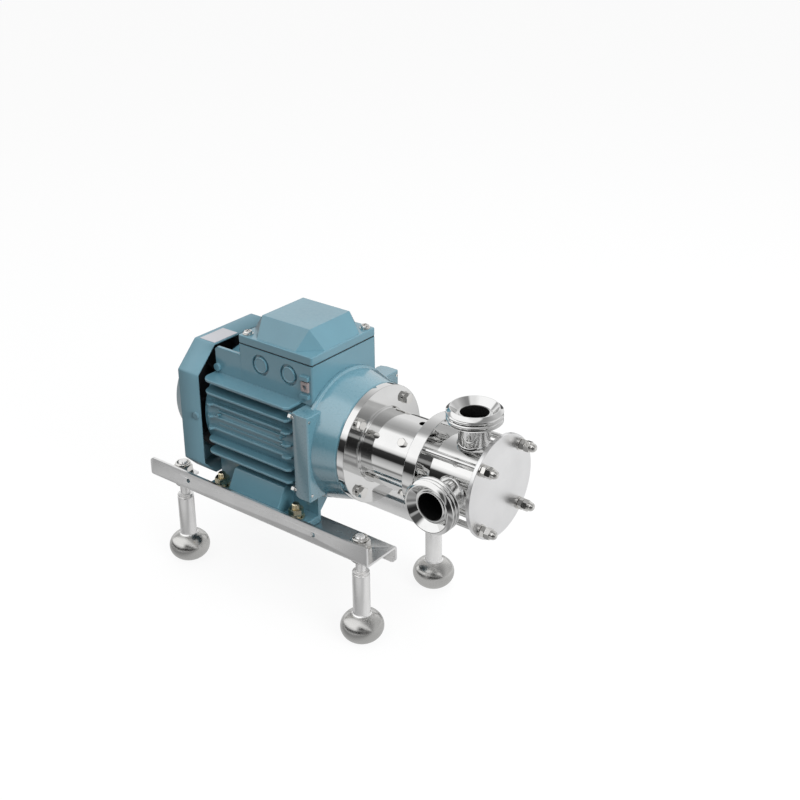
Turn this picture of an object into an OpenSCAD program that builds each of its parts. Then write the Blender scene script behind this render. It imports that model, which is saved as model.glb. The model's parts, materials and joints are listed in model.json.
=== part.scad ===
// Flexible impeller pump, close coupled to a foot mounted electric motor
// on two rails with four adjustable feet. +X runs along the shaft toward the
// pump cover and +Z is up. The origin is on the floor under the middle.

/* [Motor] */
// Shaft height above the mounting face of the motor feet
foot_drop = 80; // [78:0.5:84]
// Distance across the motor foot bolts
foot_gauge = 125; // [123:0.5:127]
// Distance along the shaft between the motor foot bolts
foot_pitch = 100; // [98:0.5:102]
// Distance from the motor flange face back to the front foot bolts
foot_offset = 50; // [49:0.5:51]
// Outer diameter of the stator housing tube
housing_d = 120; // [119.5:0.5:122]
// Diameter of the stator laminations
stator_d = 115; // [113:0.5:115]
// Width of the motor over the cooling fins
fin_span = 132; // [131:0.5:134]
// Distance from one cooling fin to the next
fin_pitch = 13.1; // [12.8:0.1:13.3]
// Diameter of the motor shaft end
shaft_d = 19; // [18:0.5:20]
// Length of the motor shaft end in front of the flange face
shaft_out = 40; // [38:1:41]

/* [Fan cover] */
// Width of the fan cover over its flat sides
hood_w = 130.6; // [129:0.2:134]
// Height of the flat top of the fan cover above the shaft
hood_top = 70.5; // [70:0.5:74]
// Length of the flat sides of the fan cover
hood_l = 28.3; // [27:0.1:32]
// Depth of the round grille behind the flat sides of the fan cover
grille_depth = 22; // [19:0.5:25]
// Diameter of the rear face of the grille
grille_d = 104; // [100:1:108]
// Diameter of the cooling fan
fan_d = 122; // [118:1:124]
// Sheet thickness of the fan cover
hood_t = 1.5; // [1.2:0.1:2]

/* [Terminal box] */
// Length of the terminal box along the shaft
box_l = 94.4; // [93:0.2:96]
// Width of the terminal box
box_w = 92.4; // [91:0.2:94]
// Height of the top of the box wall above the shaft
box_top = 84; // [83:0.5:86]
// Thickness of the lid plate
lid_t = 8.1; // [7:0.1:9]
// Height of the raised middle of the lid over its plate
lid_rise = 18.6; // [16:0.2:20]

/* [Rails] */
// Length of each rail
rail_l = 290; // [286:1:300]
// Distance from the motor flange face forward to the rail ends
rail_front = 50; // [48:1:54]
// Width over the upright flanges of both rails
rail_span = 155.2; // [154.8:0.2:158]
// Width of the flat web of one rail
web_w = 44.4; // [43:0.2:46]
// Sheet thickness of the rails
rail_t = 2.5; // [2:0.1:2.6]
// Height of the upright outer flange over the web underside
flange_h = 20.9; // [19:0.1:22]
// Depth of the inner lip below the web top
lip_h = 19; // [16:0.5:21]

/* [Feet] */
// Height of the shaft axis above the floor
shaft_height = 181; // [178:1:190]
// Distance across the feet
feet_gauge = 114.8; // [113:0.2:116]
// Distance between the front and rear feet
feet_pitch = 239; // [236:1:242]
// Diameter of the rounded base of a foot
ball_d = 42.6; // [40:0.2:44]
// Height of the rounded base above its widest line
ball_h = 16.5; // [15:0.5:17]
// Diameter of the foot sleeve
sleeve_d = 17; // [16:0.5:18]
// Diameter of the threaded foot stud
stud_d = 10; // [9:0.5:10.5]

/* [Lantern] */
// Diameter of the lantern flange on the motor
lantern_flange_d = 117; // [116:0.5:120]
// Diameter of the bolt circle of the lantern flange
lantern_pcd = 100; // [98:0.5:102]
// Outer diameter of the lantern tube
lantern_d = 73; // [72:0.5:75]
// Distance from the motor flange face to the pump flange
lantern_l = 69; // [67:0.5:70]

/* [Pump head] */
// Diameter of the pump cover and of the pump flange
cover_d = 99; // [98:0.5:103]
// Thickness of the front cover
cover_t = 4; // [3.5:0.5:5]
// Outer diameter of the pump casing
casing_d = 74; // [73.6:0.1:75]
// Diameter of the impeller chamber
chamber_d = 65; // [64.6:0.1:65.4]
// Length of the casing in front of the pump flange
casing_l = 57; // [56:0.5:58]
// Diameter of the circle of tie rods
rod_pcd = 86; // [85:0.5:87]
// Diameter of the tie rods
rod_d = 6; // [5.5:0.1:6.2]
// Number of impeller vanes
vane_count = 10; // [8:2:10]

/* [Ports] */
// Bore of both ports
port_bore = 26; // [25:0.5:26.5]
// Outer diameter of the port tubes
port_d = 29; // [28.5:0.1:29.5]
// Outer diameter of the round thread on the port unions
union_d = 52; // [51:0.5:53]
// Distance from the shaft axis to the rim of a union
union_reach = 71; // [70:0.5:73]
// Distance between turns of the round thread
thread_pitch = 4.2; // [4:0.1:4.4]

/* [Hidden] */
$fn = 64;

// Places along the shaft, measured from the motor flange face
flange_x = lantern_l;
casing_x = flange_x + 13;
cover_x = casing_x + casing_l;
nut_x = cover_x + cover_t;
front_tip = nut_x + 17;
rail_rear = rail_front - rail_l;
port_x = casing_x + 31.4;
stem_bore = port_bore - 1;
stem_end = 42;
chamber_x = casing_x + 6;
x0 = -(front_tip + rail_rear) / 2;

// Heights measured from the shaft axis
web_top = -foot_drop;
web_bottom = web_top - rail_t;
floor_z = -shaft_height;
ball_z = floor_z + 14.7;
lid_z = box_top + 1.2;
plate_z = lid_z + lid_t;

// Box and lid ends along the shaft
box_x1 = -37.2;
box_x0 = box_x1 - box_l;
box_y = box_w / 2;
peak_x0 = box_x0 + 17.1;
peak_x1 = box_x1 - 17.3;
peak_y = 28.9;

// Feet and bolts
foot_x_front = rail_front - 24.4;
foot_x_rear = foot_x_front - feet_pitch;
foot_y = feet_gauge / 2;
bolt_x_front = -foot_offset;
bolt_x_rear = -foot_offset - foot_pitch;
bolt_y = foot_gauge / 2;
motor_rear = -172;
hood_rim = motor_rear - hood_l;
grille_x = hood_rim - grille_depth;

// Colours
paint = [0.36, 0.56, 0.60];
steel = [0.80, 0.81, 0.82];
satin = [0.68, 0.68, 0.69];
zinc = [0.78, 0.70, 0.50];
dark = [0.16, 0.16, 0.17];
rubber = [0.10, 0.10, 0.11];
copper = [0.72, 0.42, 0.22];
brass = [0.80, 0.66, 0.34];
iron = [0.42, 0.43, 0.45];

// Points of an arc about a centre, from one angle to another
function arc(cx, cy, r, a0, a1, n = 6) =
    [for (i = [0 : n]) [cx + r * cos(a0 + (a1 - a0) * i / n), cy + r * sin(a0 + (a1 - a0) * i / n)]];

// Moves children from the flange face frame to the floor frame
module on_shaft() {
    translate([x0, 0, shaft_height]) children();
}

// Extrudes a drawing in the Y and Z directions from one place to another along X
module along_x(a, b) {
    translate([a, 0, 0]) rotate([90, 0, 90]) linear_extrude(b - a) children();
}

// A plain ring round the shaft axis
module ring_x(a, b, ro, ri = 0) {
    translate([a, 0, 0]) rotate([0, 90, 0]) difference() {
        cylinder(h = b - a, r = ro, $fn = 96);
        if (ri > 0) translate([0, 0, -1]) cylinder(h = b - a + 2, r = ri, $fn = 96);
    }
}

// A body round the shaft axis from pairs of place along X and radius
module lathe_x(points) {
    rotate([0, 90, 0]) rotate_extrude($fn = 96) polygon([for (p = points) [p[1], p[0]]]);
}

// A rod along X at a height and a side
module rod_x(a, b, r, y, z) {
    translate([a, y, z]) rotate([0, 90, 0]) cylinder(h = b - a, r = r, $fn = 32);
}

// A hexagon prism along X
module hex_x(a, b, flats, y, z, turn = 0) {
    translate([a, y, z]) rotate([turn, 0, 0]) rotate([0, 90, 0])
        cylinder(h = b - a, r = flats / sqrt(3), $fn = 6);
}

// A hexagon prism standing up
module hex_z(x, y, a, b, flats, turn = 0) {
    translate([x, y, a]) rotate([0, 0, turn]) cylinder(h = b - a, r = flats / sqrt(3), $fn = 6);
}

// A standing round bar
module bar_z(x, y, a, b, r) {
    translate([x, y, a]) cylinder(h = b - a, r = r, $fn = 48);
}

// Repeats children at four places round the shaft, between the main directions
module at_diagonals() {
    for (a = [45, 135, 225, 315]) rotate([a, 0, 0]) children();
}

// Repeats children at the four places of the adjustable feet
module at_feet() {
    for (x = [foot_x_rear, foot_x_front], y = [-foot_y, foot_y]) translate([x, y, 0]) children();
}

// Repeats children at the four motor foot bolts
module at_motor_bolts() {
    for (x = [bolt_x_rear, bolt_x_front], y = [-bolt_y, bolt_y]) translate([x, y, 0]) children();
}

// Repeats children at the two lid screws, in opposite corners of the terminal box
module at_lid_screws() {
    for (p = [[box_x0 + 7, 7 - box_y], [box_x1 - 7, box_y - 7]]) translate([p[0], p[1], 0]) children();
}

// Section of the far rail: upright outer flange, flat web and inner lip turned down
function rail_section() =
    let (o = rail_span / 2, i = o - web_w, t = rail_t, r = 3.2)
    concat(
        [[o, web_bottom + flange_h], [o - t, web_bottom + flange_h]],
        arc(o - r, web_bottom + r, r - t, 0, -90, 4),
        [[i + r, web_top]],
        arc(i + r, web_top - r, r, 90, 180, 4),
        [[i, web_top - lip_h], [i + t, web_top - lip_h]],
        arc(i + r, web_top - r, r - t, 180, 90, 4),
        arc(o - r, web_bottom + r, r, 270, 360, 4)
    );

// Cuts a square sheet corner to a quarter round, seen from the side
module corner_cut(x, z, r, sx, sz) {
    translate([x, 0, z]) difference() {
        translate([sx > 0 ? 0 : -r - 1, -60, sz > 0 ? 0 : -r - 1]) cube([r + 1, 120, r + 1]);
        rotate([90, 0, 0]) cylinder(h = 122, r = r, center = true, $fn = 40);
    }
}

// Space cut out of the far rail behind the motor feet, where only a tab holds the rear foot
module rear_notch() {
    low = web_top - lip_h - 1;
    inner = rail_span / 2 - web_w - 1;
    for (x = [[rail_rear - 1, foot_x_rear - 11], [foot_x_rear + 11, bolt_x_rear - 18]])
        translate([x[0], inner, low]) cube([x[1] - x[0], web_w - 20, lip_h + 2]);
    translate([foot_x_rear - 12, inner, low]) cube([24, foot_y - 10.8 - inner, lip_h + 2]);
}

// One rail, drawn for the far side
module rail_far() {
    o = rail_span / 2;
    i = o - web_w;
    top = web_bottom + flange_h;
    difference() {
        along_x(rail_rear, rail_front) polygon(rail_section());
        translate([0, o, 0]) corner_cut(rail_rear + 5, top - 5, 5, -1, 1);
        translate([0, o + 57, 0]) corner_cut(rail_rear + 4, web_bottom + 4, 4, -1, -1);
        translate([0, o, 0]) corner_cut(rail_front - 1.5, top - 1.5, 1.5, 1, 1);
        translate([0, i, 0]) corner_cut(rail_front - 6, web_top - lip_h + 6, 6, 1, -1);
        translate([0, i, 0]) corner_cut(bolt_x_rear - 12, web_top - lip_h + 6, 6, -1, -1);
        rear_notch();
        for (x = [foot_x_rear, foot_x_front]) bar_z(x, foot_y, web_bottom - 1, web_top + 1, stud_d / 2 + 0.5);
        for (x = [bolt_x_rear, bolt_x_front]) bar_z(x, bolt_y, web_bottom - 1, web_top + 1, 4.5);
        for (x = [-184, -15.4]) translate([x, o + 1, web_top + 9]) rotate([90, 0, 0])
            cylinder(h = rail_t + 2, r = 2.5, $fn = 32);
    }
}

module near_rail() {
    color(satin) on_shaft() mirror([0, 1, 0]) rail_far();
}

module far_rail() {
    color(satin) on_shaft() rail_far();
}

// One adjustable foot: rounded base, sleeve and tapered collar round a threaded hole
module foot_body() {
    top = -104;
    rb = ball_d / 2;
    a0 = -asin((ball_z - floor_z) / ball_h);
    a1 = acos((sleeve_d / 2) / rb);
    n = 22;
    base = [for (k = [0 : n]) let (a = a0 + (a1 - a0) * k / n) [rb * cos(a), ball_z + ball_h * sin(a)]];
    color(steel) rotate_extrude($fn = 72) polygon(concat(
        [[0, floor_z]], base,
        [[sleeve_d / 2, top - 8.3], [sleeve_d / 2 - 0.5, top - 8.1], [sleeve_d / 2 - 0.5, top - 7.4],
         [sleeve_d / 2 + 0.4, top - 7.2], [sleeve_d / 2 + 0.4, top - 4.8], [stud_d / 2 + 1.5, top],
         [stud_d / 2 + 0.05, top], [stud_d / 2 + 0.05, top - 48], [0, top - 50.5]]));
}

module foot_front_near() {
    on_shaft() translate([foot_x_front, -foot_y, 0]) foot_body();
}

module foot_front_far() {
    on_shaft() translate([foot_x_front, foot_y, 0]) foot_body();
}

module foot_rear_near() {
    on_shaft() translate([foot_x_rear, -foot_y, 0]) foot_body();
}

module foot_rear_far() {
    on_shaft() translate([foot_x_rear, foot_y, 0]) foot_body();
}

// Threaded studs held in the rail webs between two nuts
module foot_studs() {
    color(steel) on_shaft() at_feet() {
        bar_z(0, 0, -138, web_top + 13.2, stud_d / 2);
        translate([0, 0, web_top + 13.2]) cylinder(h = 0.8, r1 = stud_d / 2, r2 = stud_d / 2 - 0.8, $fn = 48);
    }
}

module foot_nuts() {
    color(steel) on_shaft() at_feet() difference() {
        union() {
            intersection() {
                hex_z(0, 0, web_top + 2, web_top + 10, 17, 12);
                translate([0, 0, web_top + 2]) cylinder(h = 8, r1 = 12.5, r2 = 9.1, $fn = 48);
            }
            bar_z(0, 0, web_top + 9.5, web_top + 12.4, 7.2);
        }
        bar_z(0, 0, web_top, web_top + 14, stud_d / 2 + 0.02);
    }
}

module foot_lock_nuts() {
    color(steel) on_shaft() at_feet() difference() {
        hex_z(0, 0, web_bottom - 10, web_bottom - 2, 17, 20);
        bar_z(0, 0, web_bottom - 11, web_bottom, stud_d / 2 + 0.02);
    }
}

module foot_washers() {
    color(steel) on_shaft() at_feet() for (z = [web_top, web_bottom - 2]) difference() {
        bar_z(0, 0, z, z + 2, 10.5);
        bar_z(0, 0, z - 1, z + 3, stud_d / 2 + 0.25);
    }
}

// Bolts through the rails and the motor feet, heads underneath
module motor_foot_bolts() {
    color(zinc) on_shaft() at_motor_bolts() {
        hex_z(0, 0, web_bottom - 5.4, web_bottom, 13, 8);
        bar_z(0, 0, web_bottom - 1, web_top + 23.2, 4);
        translate([0, 0, web_top + 23.2]) cylinder(h = 0.8, r1 = 4, r2 = 3.2, $fn = 48);
    }
}

module motor_foot_nuts() {
    color(zinc) on_shaft() at_motor_bolts() difference() {
        hex_z(0, 0, web_top + 12.7, web_top + 19.3, 13, 24);
        bar_z(0, 0, web_top + 12, web_top + 20, 4.02);
    }
}

module motor_foot_washers() {
    color(zinc) on_shaft() at_motor_bolts() {
        difference() {
            bar_z(0, 0, web_top + 9, web_top + 10.7, 8.5);
            bar_z(0, 0, web_top + 8, web_top + 12, 4.2);
        }
        difference() {
            bar_z(0, 0, web_top + 10.7, web_top + 12.7, 6.8);
            bar_z(0, 0, web_top + 10, web_top + 13, 4.2);
            translate([0, -0.5, web_top + 10]) cube([8, 1, 3]);
        }
    }
}

// Plan of one cooling fin with a rounded rear tip
module fin_plan(reach) {
    polygon(concat(
        [[motor_rear + 5, 38]],
        arc(motor_rear + 15, reach - 10, 10, 180, 90, 8),
        [[-57, reach], [-53, reach - 4], [-53, 38]]
    ));
}

// Stator housing: tube, side fins, open terminal box and its rear side walls
module motor_housing() {
    ro = housing_d / 2;
    top_fin = box_top - 40.5;
    half = fin_span / 2;
    z_mid = top_fin - 3 * fin_pitch;
    color(paint) on_shaft() difference() {
        union() {
            ring_x(motor_rear + 5, -47, ro);
            for (s = [0, 1]) mirror([0, s, 0]) {
                for (k = [0 : 6]) translate([0, 0, top_fin - 1.5 - fin_pitch * k])
                    linear_extrude(k == 0 ? 3.2 : 2.8) fin_plan(half);
                for (z = [z_mid - 0.5 * fin_pitch, z_mid + 0.5 * fin_pitch]) translate([-150, 40, z - 0.8])
                    cube([88, half - 45, 1.6]);
                for (p = [[-150, 0.25], [-67, -0.2], [-67, 0.35]]) translate([p[0], 40, z_mid + p[1] * fin_pitch])
                    rotate([-90, 0, 0]) cylinder(h = half - 42.4, r = 1.5, $fn = 24);
            }
            difference() {
                translate([box_x0, -box_y, 44]) cube([box_l, box_w, box_top - 44]);
                translate([box_x0 + 4, -box_y + 4, 40]) cube([box_l - 8, box_w - 8, box_top - 39]);
            }
            translate([box_x0 + 1, -box_y + 1, 59]) cube([box_l - 2, box_w - 2, 5]);
            at_lid_screws() bar_z(0, 0, 62, box_top, 5);
            for (s = [0, 1]) mirror([0, s, 0]) {
                translate([motor_rear + 7, box_y - 4, 44]) cube([box_x0 - motor_rear - 6, 4, 28.5]);
                translate([motor_rear + 10, box_y - 2, 51]) rotate([-90, 0, 0]) cylinder(h = 4, r = 4, $fn = 32);
                translate([box_x1 - 13, box_y - 1, 57.5]) cube([9, 3.5, 9.5]);
                translate([box_x1 - 14.5, box_y - 1, 70]) cube([11, 3, 3]);
                translate([box_x1 - 14.5, box_y - 1, 51.5]) cube([11, 3, 3]);
            }
        }
        ring_x(motor_rear, -46.9, stator_d / 2 + 0.02);
        for (y = [-half - 1, half - 3.6]) translate([-158, y, z_mid - fin_pitch - 2.2])
            cube([95, 4.6, 2 * fin_pitch + 4.4]);
        translate([box_x0 + 40, 0, 50]) cylinder(h = 20, r = 9, $fn = 48);
        for (s = [-1, 1], x = [-103.4, -67.2]) translate([x, s * (box_y + 1), 68.4]) rotate([90, 0, 0])
            translate([0, 0, s > 0 ? 0 : -3.5]) cylinder(h = 3.5, r = 10.6, $fn = 64);
        for (s = [-1, 1]) translate([box_x1 - 8.5, s * (box_y + 4), 62.2]) rotate([90, 0, 0])
            translate([0, 0, s > 0 ? 0 : -6]) cylinder(h = 6, r = 2, $fn = 32);
        at_lid_screws() bar_z(0, 0, box_top - 12, box_top + 1, 2);
        translate([-46.98, -80, -80]) cube([9.84, 160, 124]);
    }
}

// One motor foot casting, drawn for the far side
module motor_foot_far() {
    ro = housing_d / 2 + 0.02;
    foot_web_in = 44.5;
    rear = bolt_x_rear - 16;
    front = bolt_x_front + 16;
    difference() {
        union() {
            translate([0, 0, web_top]) linear_extrude(9) polygon(concat(
                [[rear, foot_web_in], [front, foot_web_in]],
                arc(front - 11, 74.2 - 11, 11, 0, 90, 8),
                arc(rear + 11, 74.2 - 11, 11, 90, 180, 8)
            ));
            along_x(rear, front) polygon([
                [foot_web_in, web_top], [48, web_top], [48, -37], [foot_web_in, -37]]);
            along_x(bolt_x_rear + 17, bolt_x_front - 16) polygon([
                [46, web_top + 1], [71.6, web_top + 8], [70.6, web_top + 16], [60.6, -45.5], [46, -45.5]]);
            along_x(front - 5, front) polygon([[34, -50], [34, -57], [48, -71], [48, -45]]);
            along_x(rear, rear + 5) polygon([[34, -50], [34, -57], [48, -71], [48, -45]]);
        }
        ring_x(-200, -47, ro);
        ring_x(-47.1, -20, 66.62);
        translate([-52, -80, -45.6]) cube([30, 160, 60]);
        for (x = [bolt_x_rear, bolt_x_front]) bar_z(x, bolt_y, web_top - 1, web_top + 10, 5);
    }
}

module motor_feet() {
    color(paint) on_shaft() for (s = [0, 1]) mirror([0, s, 0]) motor_foot_far();
}

// Front end shield: lug plate, round collar and cone down to the flange face
module front_end_shield() {
    ri = stator_d / 2 - 0.02;
    color(paint) on_shaft() difference() {
        union() {
            lathe_x([
                [-53, 40], [-53, ri], [-47, ri], [-47, 63], [-37.2, 63], [-37.2, 66.5], [-33.6, 66.5],
                [-32.8, 64.6], [-26, 64.6], [-2, 58.6], [0, 56.6], [0, 40], [3, 39.95], [3, 30], [-4, 30],
                [-4, 12], [-10, 12], [-10, 23.5], [-24, 23.5], [-24, 30], [-32, 40]
            ]);
            difference() {
                translate([0, 0, -45.4]) linear_extrude(88.8) polygon([
                    [-47, -65.4], [-39.6, -67.7], [-27, -67.7], [-26, -66.7], [-26, 66.7], [-27, 67.7],
                    [-39.6, 67.7], [-47, 65.4]]);
                ring_x(-48, -20, 61);
            }
        }
        translate([-47.02, -box_y - 0.1, 43.9]) cube([box_x1 + 47.06, box_w + 0.2, 30]);
        for (y = [-64.8, 64.8], z = [-38.6, 38.4]) rod_x(-48, -20, 1.52, y, z);
        at_diagonals() rod_x(-14, 5, 3, 0, lantern_pcd / 2);
        ring_x(-5, -3, 12.02);
    }
}

// Long thin screws in the lugs of the front end shield, heads at the rear
module end_shield_screws() {
    color(steel) on_shaft() for (y = [-64.8, 64.8], z = [-38.6, 38.4]) {
        rod_x(-48, -25.2, 1.5, y, z);
        hex_x(-50, -47, 5.5, y, z, 10);
    }
}

module rear_end_shield() {
    ri = stator_d / 2 - 0.02;
    ro = housing_d / 2 - 0.5;
    x = motor_rear;
    color(paint) on_shaft() lathe_x([
        [x + 9, ri], [x + 5, ri], [x + 5, ro], [x + 1, ro], [x - 1, 52], [x - 6, 28], [x - 6, 12], [x - 2, 12],
        [x - 2, 20], [x + 10, 20], [x + 10, 25], [x + 4, 32], [x + 4, 50], [x + 9, 50]]);
}

// Section of the fan cover at a distance inside its outer face
module hood_section(inset) {
    w = hood_w / 2 - inset;
    t = hood_top - inset;
    c = 0.41 * inset;
    polygon([[-40.1 + c, t], [40.1 - c, t], [w, 45.1 - c], [w, -53.4 + c],
        [50 - c, -69 + inset], [-50 + c, -69 + inset], [-w, -53.4 + c], [-w, 45.1 - c]]);
}

// Outer space of the fan cover, or its inner space if an inset is given
module hood_space(inset) {
    face = grille_d / 2 - inset;
    x1 = hood_rim + inset;
    x0 = grille_x + inset;
    along_x(x1, motor_rear + inset) hood_section(inset);
    lathe_x([
        [x1 + 0.01, 0], [x1 + 0.01, face + 12], [x0 + 3, face + 1.4], [x0 + 0.8, face - 0.6], [x0, face - 3], [x0, 0]
    ]);
}

// Fan cover: eight flat sides and a round raised grille with ring shaped air slots
module fan_cover() {
    color(paint) on_shaft() difference() {
        hood_space(0);
        hood_space(hood_t);
        difference() {
            for (r = [10 : 8 : 42]) ring_x(grille_x - 1, grille_x + hood_t + 1, r + 4, r);
            for (a = [0 : 45 : 135]) rotate([a, 0, 0]) translate([grille_x - 2, -1.75, -70]) cube([6, 3.5, 140]);
        }
        for (y = [-1, 1]) translate([motor_rear - 6, y * (hood_w / 2 + 2), 0]) rotate([90, 0, 0])
            translate([0, 0, y > 0 ? 0 : -5]) cylinder(h = 5, r = 2.1, $fn = 32);
    }
}

module fan_cover_screws() {
    color(steel) on_shaft() for (s = [0, 1]) mirror([0, s, 0]) translate([motor_rear - 6, 0, 0]) {
        translate([0, hood_w / 2 - 4, 0]) rotate([-90, 0, 0]) cylinder(h = 4.5, r = 2, $fn = 32);
        translate([0, hood_w / 2, 0]) rotate([-90, 0, 0]) cylinder(h = 1.8, r = 4, $fn = 32);
    }
}

// Plain blank plate on top of the fan cover
module rating_plate() {
    color(satin) on_shaft() translate([motor_rear - 22.5, -38, hood_top]) cube([21, 32, 0.4]);
}

module cooling_fan() {
    color(dark) on_shaft() {
        ring_x(-197, -182, 14, 7.53);
        ring_x(-191, -189, fan_d / 2, 13.9);
        for (a = [0 : 40 : 320]) rotate([a, 0, 0]) translate([-196, -1.2, 13.5]) cube([13, 2.4, fan_d / 2 - 15]);
    }
}

// Motor shaft with a keyway in its front end
module motor_shaft() {
    r = shaft_d / 2;
    color(iron) on_shaft() difference() {
        lathe_x([
            [-199, 0], [-199, 7.5], [-178, 7.5], [-178, 8.5], [-162, 8.5], [-162, 11], [-145, 11], [-145, 13],
            [-65, 13], [-65, 12], [-24, 12], [-24, 10], [-1, 10], [0, r], [shaft_out - 1, r],
            [shaft_out, r - 1], [shaft_out, 0]
        ]);
        translate([12, -3, r - 3.5]) cube([25, 6, 10]);
    }
}

module shaft_key() {
    color(iron) on_shaft() translate([12.05, -2.98, shaft_d / 2 - 3.5]) cube([24.9, 5.96, 5.9]);
}

module rotor_core() {
    color(iron) on_shaft() union() {
        ring_x(-145, -65, 35, 13.01);
        ring_x(-150, -145, 34, 26);
        ring_x(-65, -60, 34, 26);
    }
}

module stator_core() {
    color(iron) on_shaft() ring_x(-145, -65, stator_d / 2, 35.5);
}

module stator_windings() {
    w = stator_d / 2 - 2;
    color(copper) on_shaft() {
        lathe_x([[-158, 42], [-158, w - 5], [-154, w - 1], [-145, w], [-145, 38], [-154, 38]]);
        lathe_x([[-65, 38], [-65, w], [-57, w - 1], [-54.5, w - 5], [-54.5, 42], [-57, 38]]);
    }
}

// One half of a ball bearing: outer ring with its balls, or inner ring
module bearing_outer(a, b, ri, ro) {
    mid = (ri + ro) / 2;
    ball = (ro - ri) / 5;
    color(steel) {
        ring_x(a, b, ro, mid + ball);
        for (k = [0 : 7]) rotate([k * 45, 0, 0]) translate([(a + b) / 2, 0, mid + 0.1]) sphere(r = ball, $fn = 24);
    }
}

module bearing_inner(a, b, ri, ro) {
    mid = (ri + ro) / 2;
    ball = (ro - ri) / 5;
    color(steel) ring_x(a, b, mid - ball - 0.2, ri + 0.01);
}

module front_bearing_outer() {
    on_shaft() bearing_outer(-24, -10, 10, 23.48);
}

module front_bearing_inner() {
    on_shaft() bearing_inner(-24, -10, 10, 23.5);
}

module rear_bearing_outer() {
    on_shaft() bearing_outer(-174, -162, 8.5, 19.98);
}

module rear_bearing_inner() {
    on_shaft() bearing_inner(-174, -162, 8.5, 20);
}

module box_gasket() {
    color(rubber) on_shaft() difference() {
        translate([box_x0 + 0.8, -box_y + 0.8, box_top]) cube([box_l - 1.6, box_w - 1.6, 1.2]);
        translate([box_x0 + 11, -box_y + 11, box_top - 1]) cube([box_l - 22, box_w - 22, 4]);
        at_lid_screws() bar_z(0, 0, box_top - 1, box_top + 3, 2.6);
    }
}

// Cuts everything on the outer side of a sloping plane through three points
module plane_cut(p, q, s) {
    n = cross(q - p, s - p);
    u = n / norm(n);
    translate(p) rotate([0, acos(u[2]), atan2(u[1], u[0])]) translate([-80, -80, 0]) cube([160, 160, 80]);
}

// Lid: flat plate with a raised middle whose corners slope down as triangles
module box_lid() {
    cx = (box_x0 + box_x1) / 2;
    hx = (peak_x1 - peak_x0) / 2;
    z1 = plate_z + lid_rise;
    by = box_y - 2.6;
    bx = box_l / 2 - 2.1;
    color(paint) on_shaft() difference() {
        union() {
            translate([box_x0, -box_y, lid_z]) cube([box_l, box_w, lid_t]);
            intersection() {
                along_x(box_x0, box_x1) polygon([[-by, plate_z - 2], [-by, plate_z], [-peak_y, z1],
                    [peak_y, z1], [by, plate_z], [by, plate_z - 2]]);
                translate([0, box_w, 0]) rotate([90, 0, 0]) linear_extrude(2 * box_w) polygon([
                    [cx - bx, plate_z - 2], [cx - bx, plate_z], [cx - hx, z1], [cx + hx, z1],
                    [cx + bx, plate_z], [cx + bx, plate_z - 2]]);
                difference() {
                    translate([box_x0, -box_y, plate_z - 3]) cube([box_l, box_w, lid_rise + 4]);
                    for (sx = [0, 1], sy = [0, 1]) translate([cx, 0, 0]) mirror([sx, 0, 0]) mirror([0, sy, 0])
                        plane_cut([bx, by - 18.5, plate_z], [bx - 20.7, by, plate_z], [hx, peak_y, z1]);
                }
            }
        }
        intersection() {
            translate([box_x0 + 11, -box_y + 11, lid_z - 1]) cube([box_l - 22, box_w - 22, lid_t + lid_rise - 2]);
            along_x(box_x0, box_x1) polygon([[-by + 6, lid_z - 2], [-peak_y + 1, z1 - 4],
                [peak_y - 1, z1 - 4], [by - 6, lid_z - 2]]);
            translate([0, box_w, 0]) rotate([90, 0, 0]) linear_extrude(2 * box_w) polygon([
                [cx - bx + 6, lid_z - 2], [cx - hx + 1, z1 - 4], [cx + hx - 1, z1 - 4], [cx + bx - 6, lid_z - 2]]);
        }
        at_lid_screws() bar_z(0, 0, lid_z - 1, plate_z + 1, 2.6);
    }
}

module lid_screws() {
    color(steel) on_shaft() at_lid_screws() {
        difference() {
            union() {
                bar_z(0, 0, plate_z, plate_z + 1, 5);
                translate([0, 0, plate_z + 1]) cylinder(h = 1.6, r = 4.3, $fn = 48);
                translate([0, 0, plate_z + 2.6]) cylinder(h = 1.2, r1 = 4.3, r2 = 3, $fn = 48);
            }
            for (a = [20, 110]) rotate([0, 0, a]) translate([-2.6, -0.5, plate_z + 2.2]) cube([5.2, 1, 4]);
        }
        bar_z(0, 0, box_top - 11, plate_z, 2);
    }
}

// Blanking plugs in the cable entries, with a raised rim
module cable_entry_plugs() {
    color(paint) on_shaft() for (s = [0, 1], x = [-103.4, -67.2]) mirror([0, s, 0])
        translate([x, box_y - 2.5, 68.4]) rotate([-90, 0, 0]) {
            cylinder(h = 1, r = 10.55, $fn = 64);
            cylinder(h = 3.1, r = 9.2, $fn = 64);
        }
}

module terminal_board() {
    color([0.30, 0.18, 0.10]) on_shaft() translate([-80, 0, 64]) difference() {
        translate([-4, -28, 0]) cube([34, 56, 9]);
        for (x = [4, 22], y = [-18, 0, 18]) bar_z(x, y, 2, 10, 2.5);
    }
}

module terminal_studs() {
    color(brass) on_shaft() translate([-80, 0, 64]) for (x = [4, 22], y = [-18, 0, 18]) {
        bar_z(x, y, 2, 17, 2.5);
        hex_z(x, y, 9, 12, 7);
    }
}

// Lantern: flange on the motor and tube to the pump
module lantern() {
    r = lantern_d / 2;
    color(steel) on_shaft() difference() {
        lathe_x([
            [0, 40], [3.1, 40], [3.1, 33.5], [lantern_l, 33.5], [lantern_l, r], [8.8, r], [8, r + 0.8],
            [8, lantern_flange_d / 2 - 0.6], [7.4, lantern_flange_d / 2], [0.6, lantern_flange_d / 2],
            [0, lantern_flange_d / 2 - 0.6]
        ]);
        at_diagonals() rod_x(-1, 9, 3.2, 0, lantern_pcd / 2);
        at_diagonals() translate([lantern_l - 17, 0, 30]) cylinder(h = 10, r = 2.6, $fn = 32);
        translate([lantern_l - 13, 0, -40]) cylinder(h = 80, r = 3.5, $fn = 32);
    }
}

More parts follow.
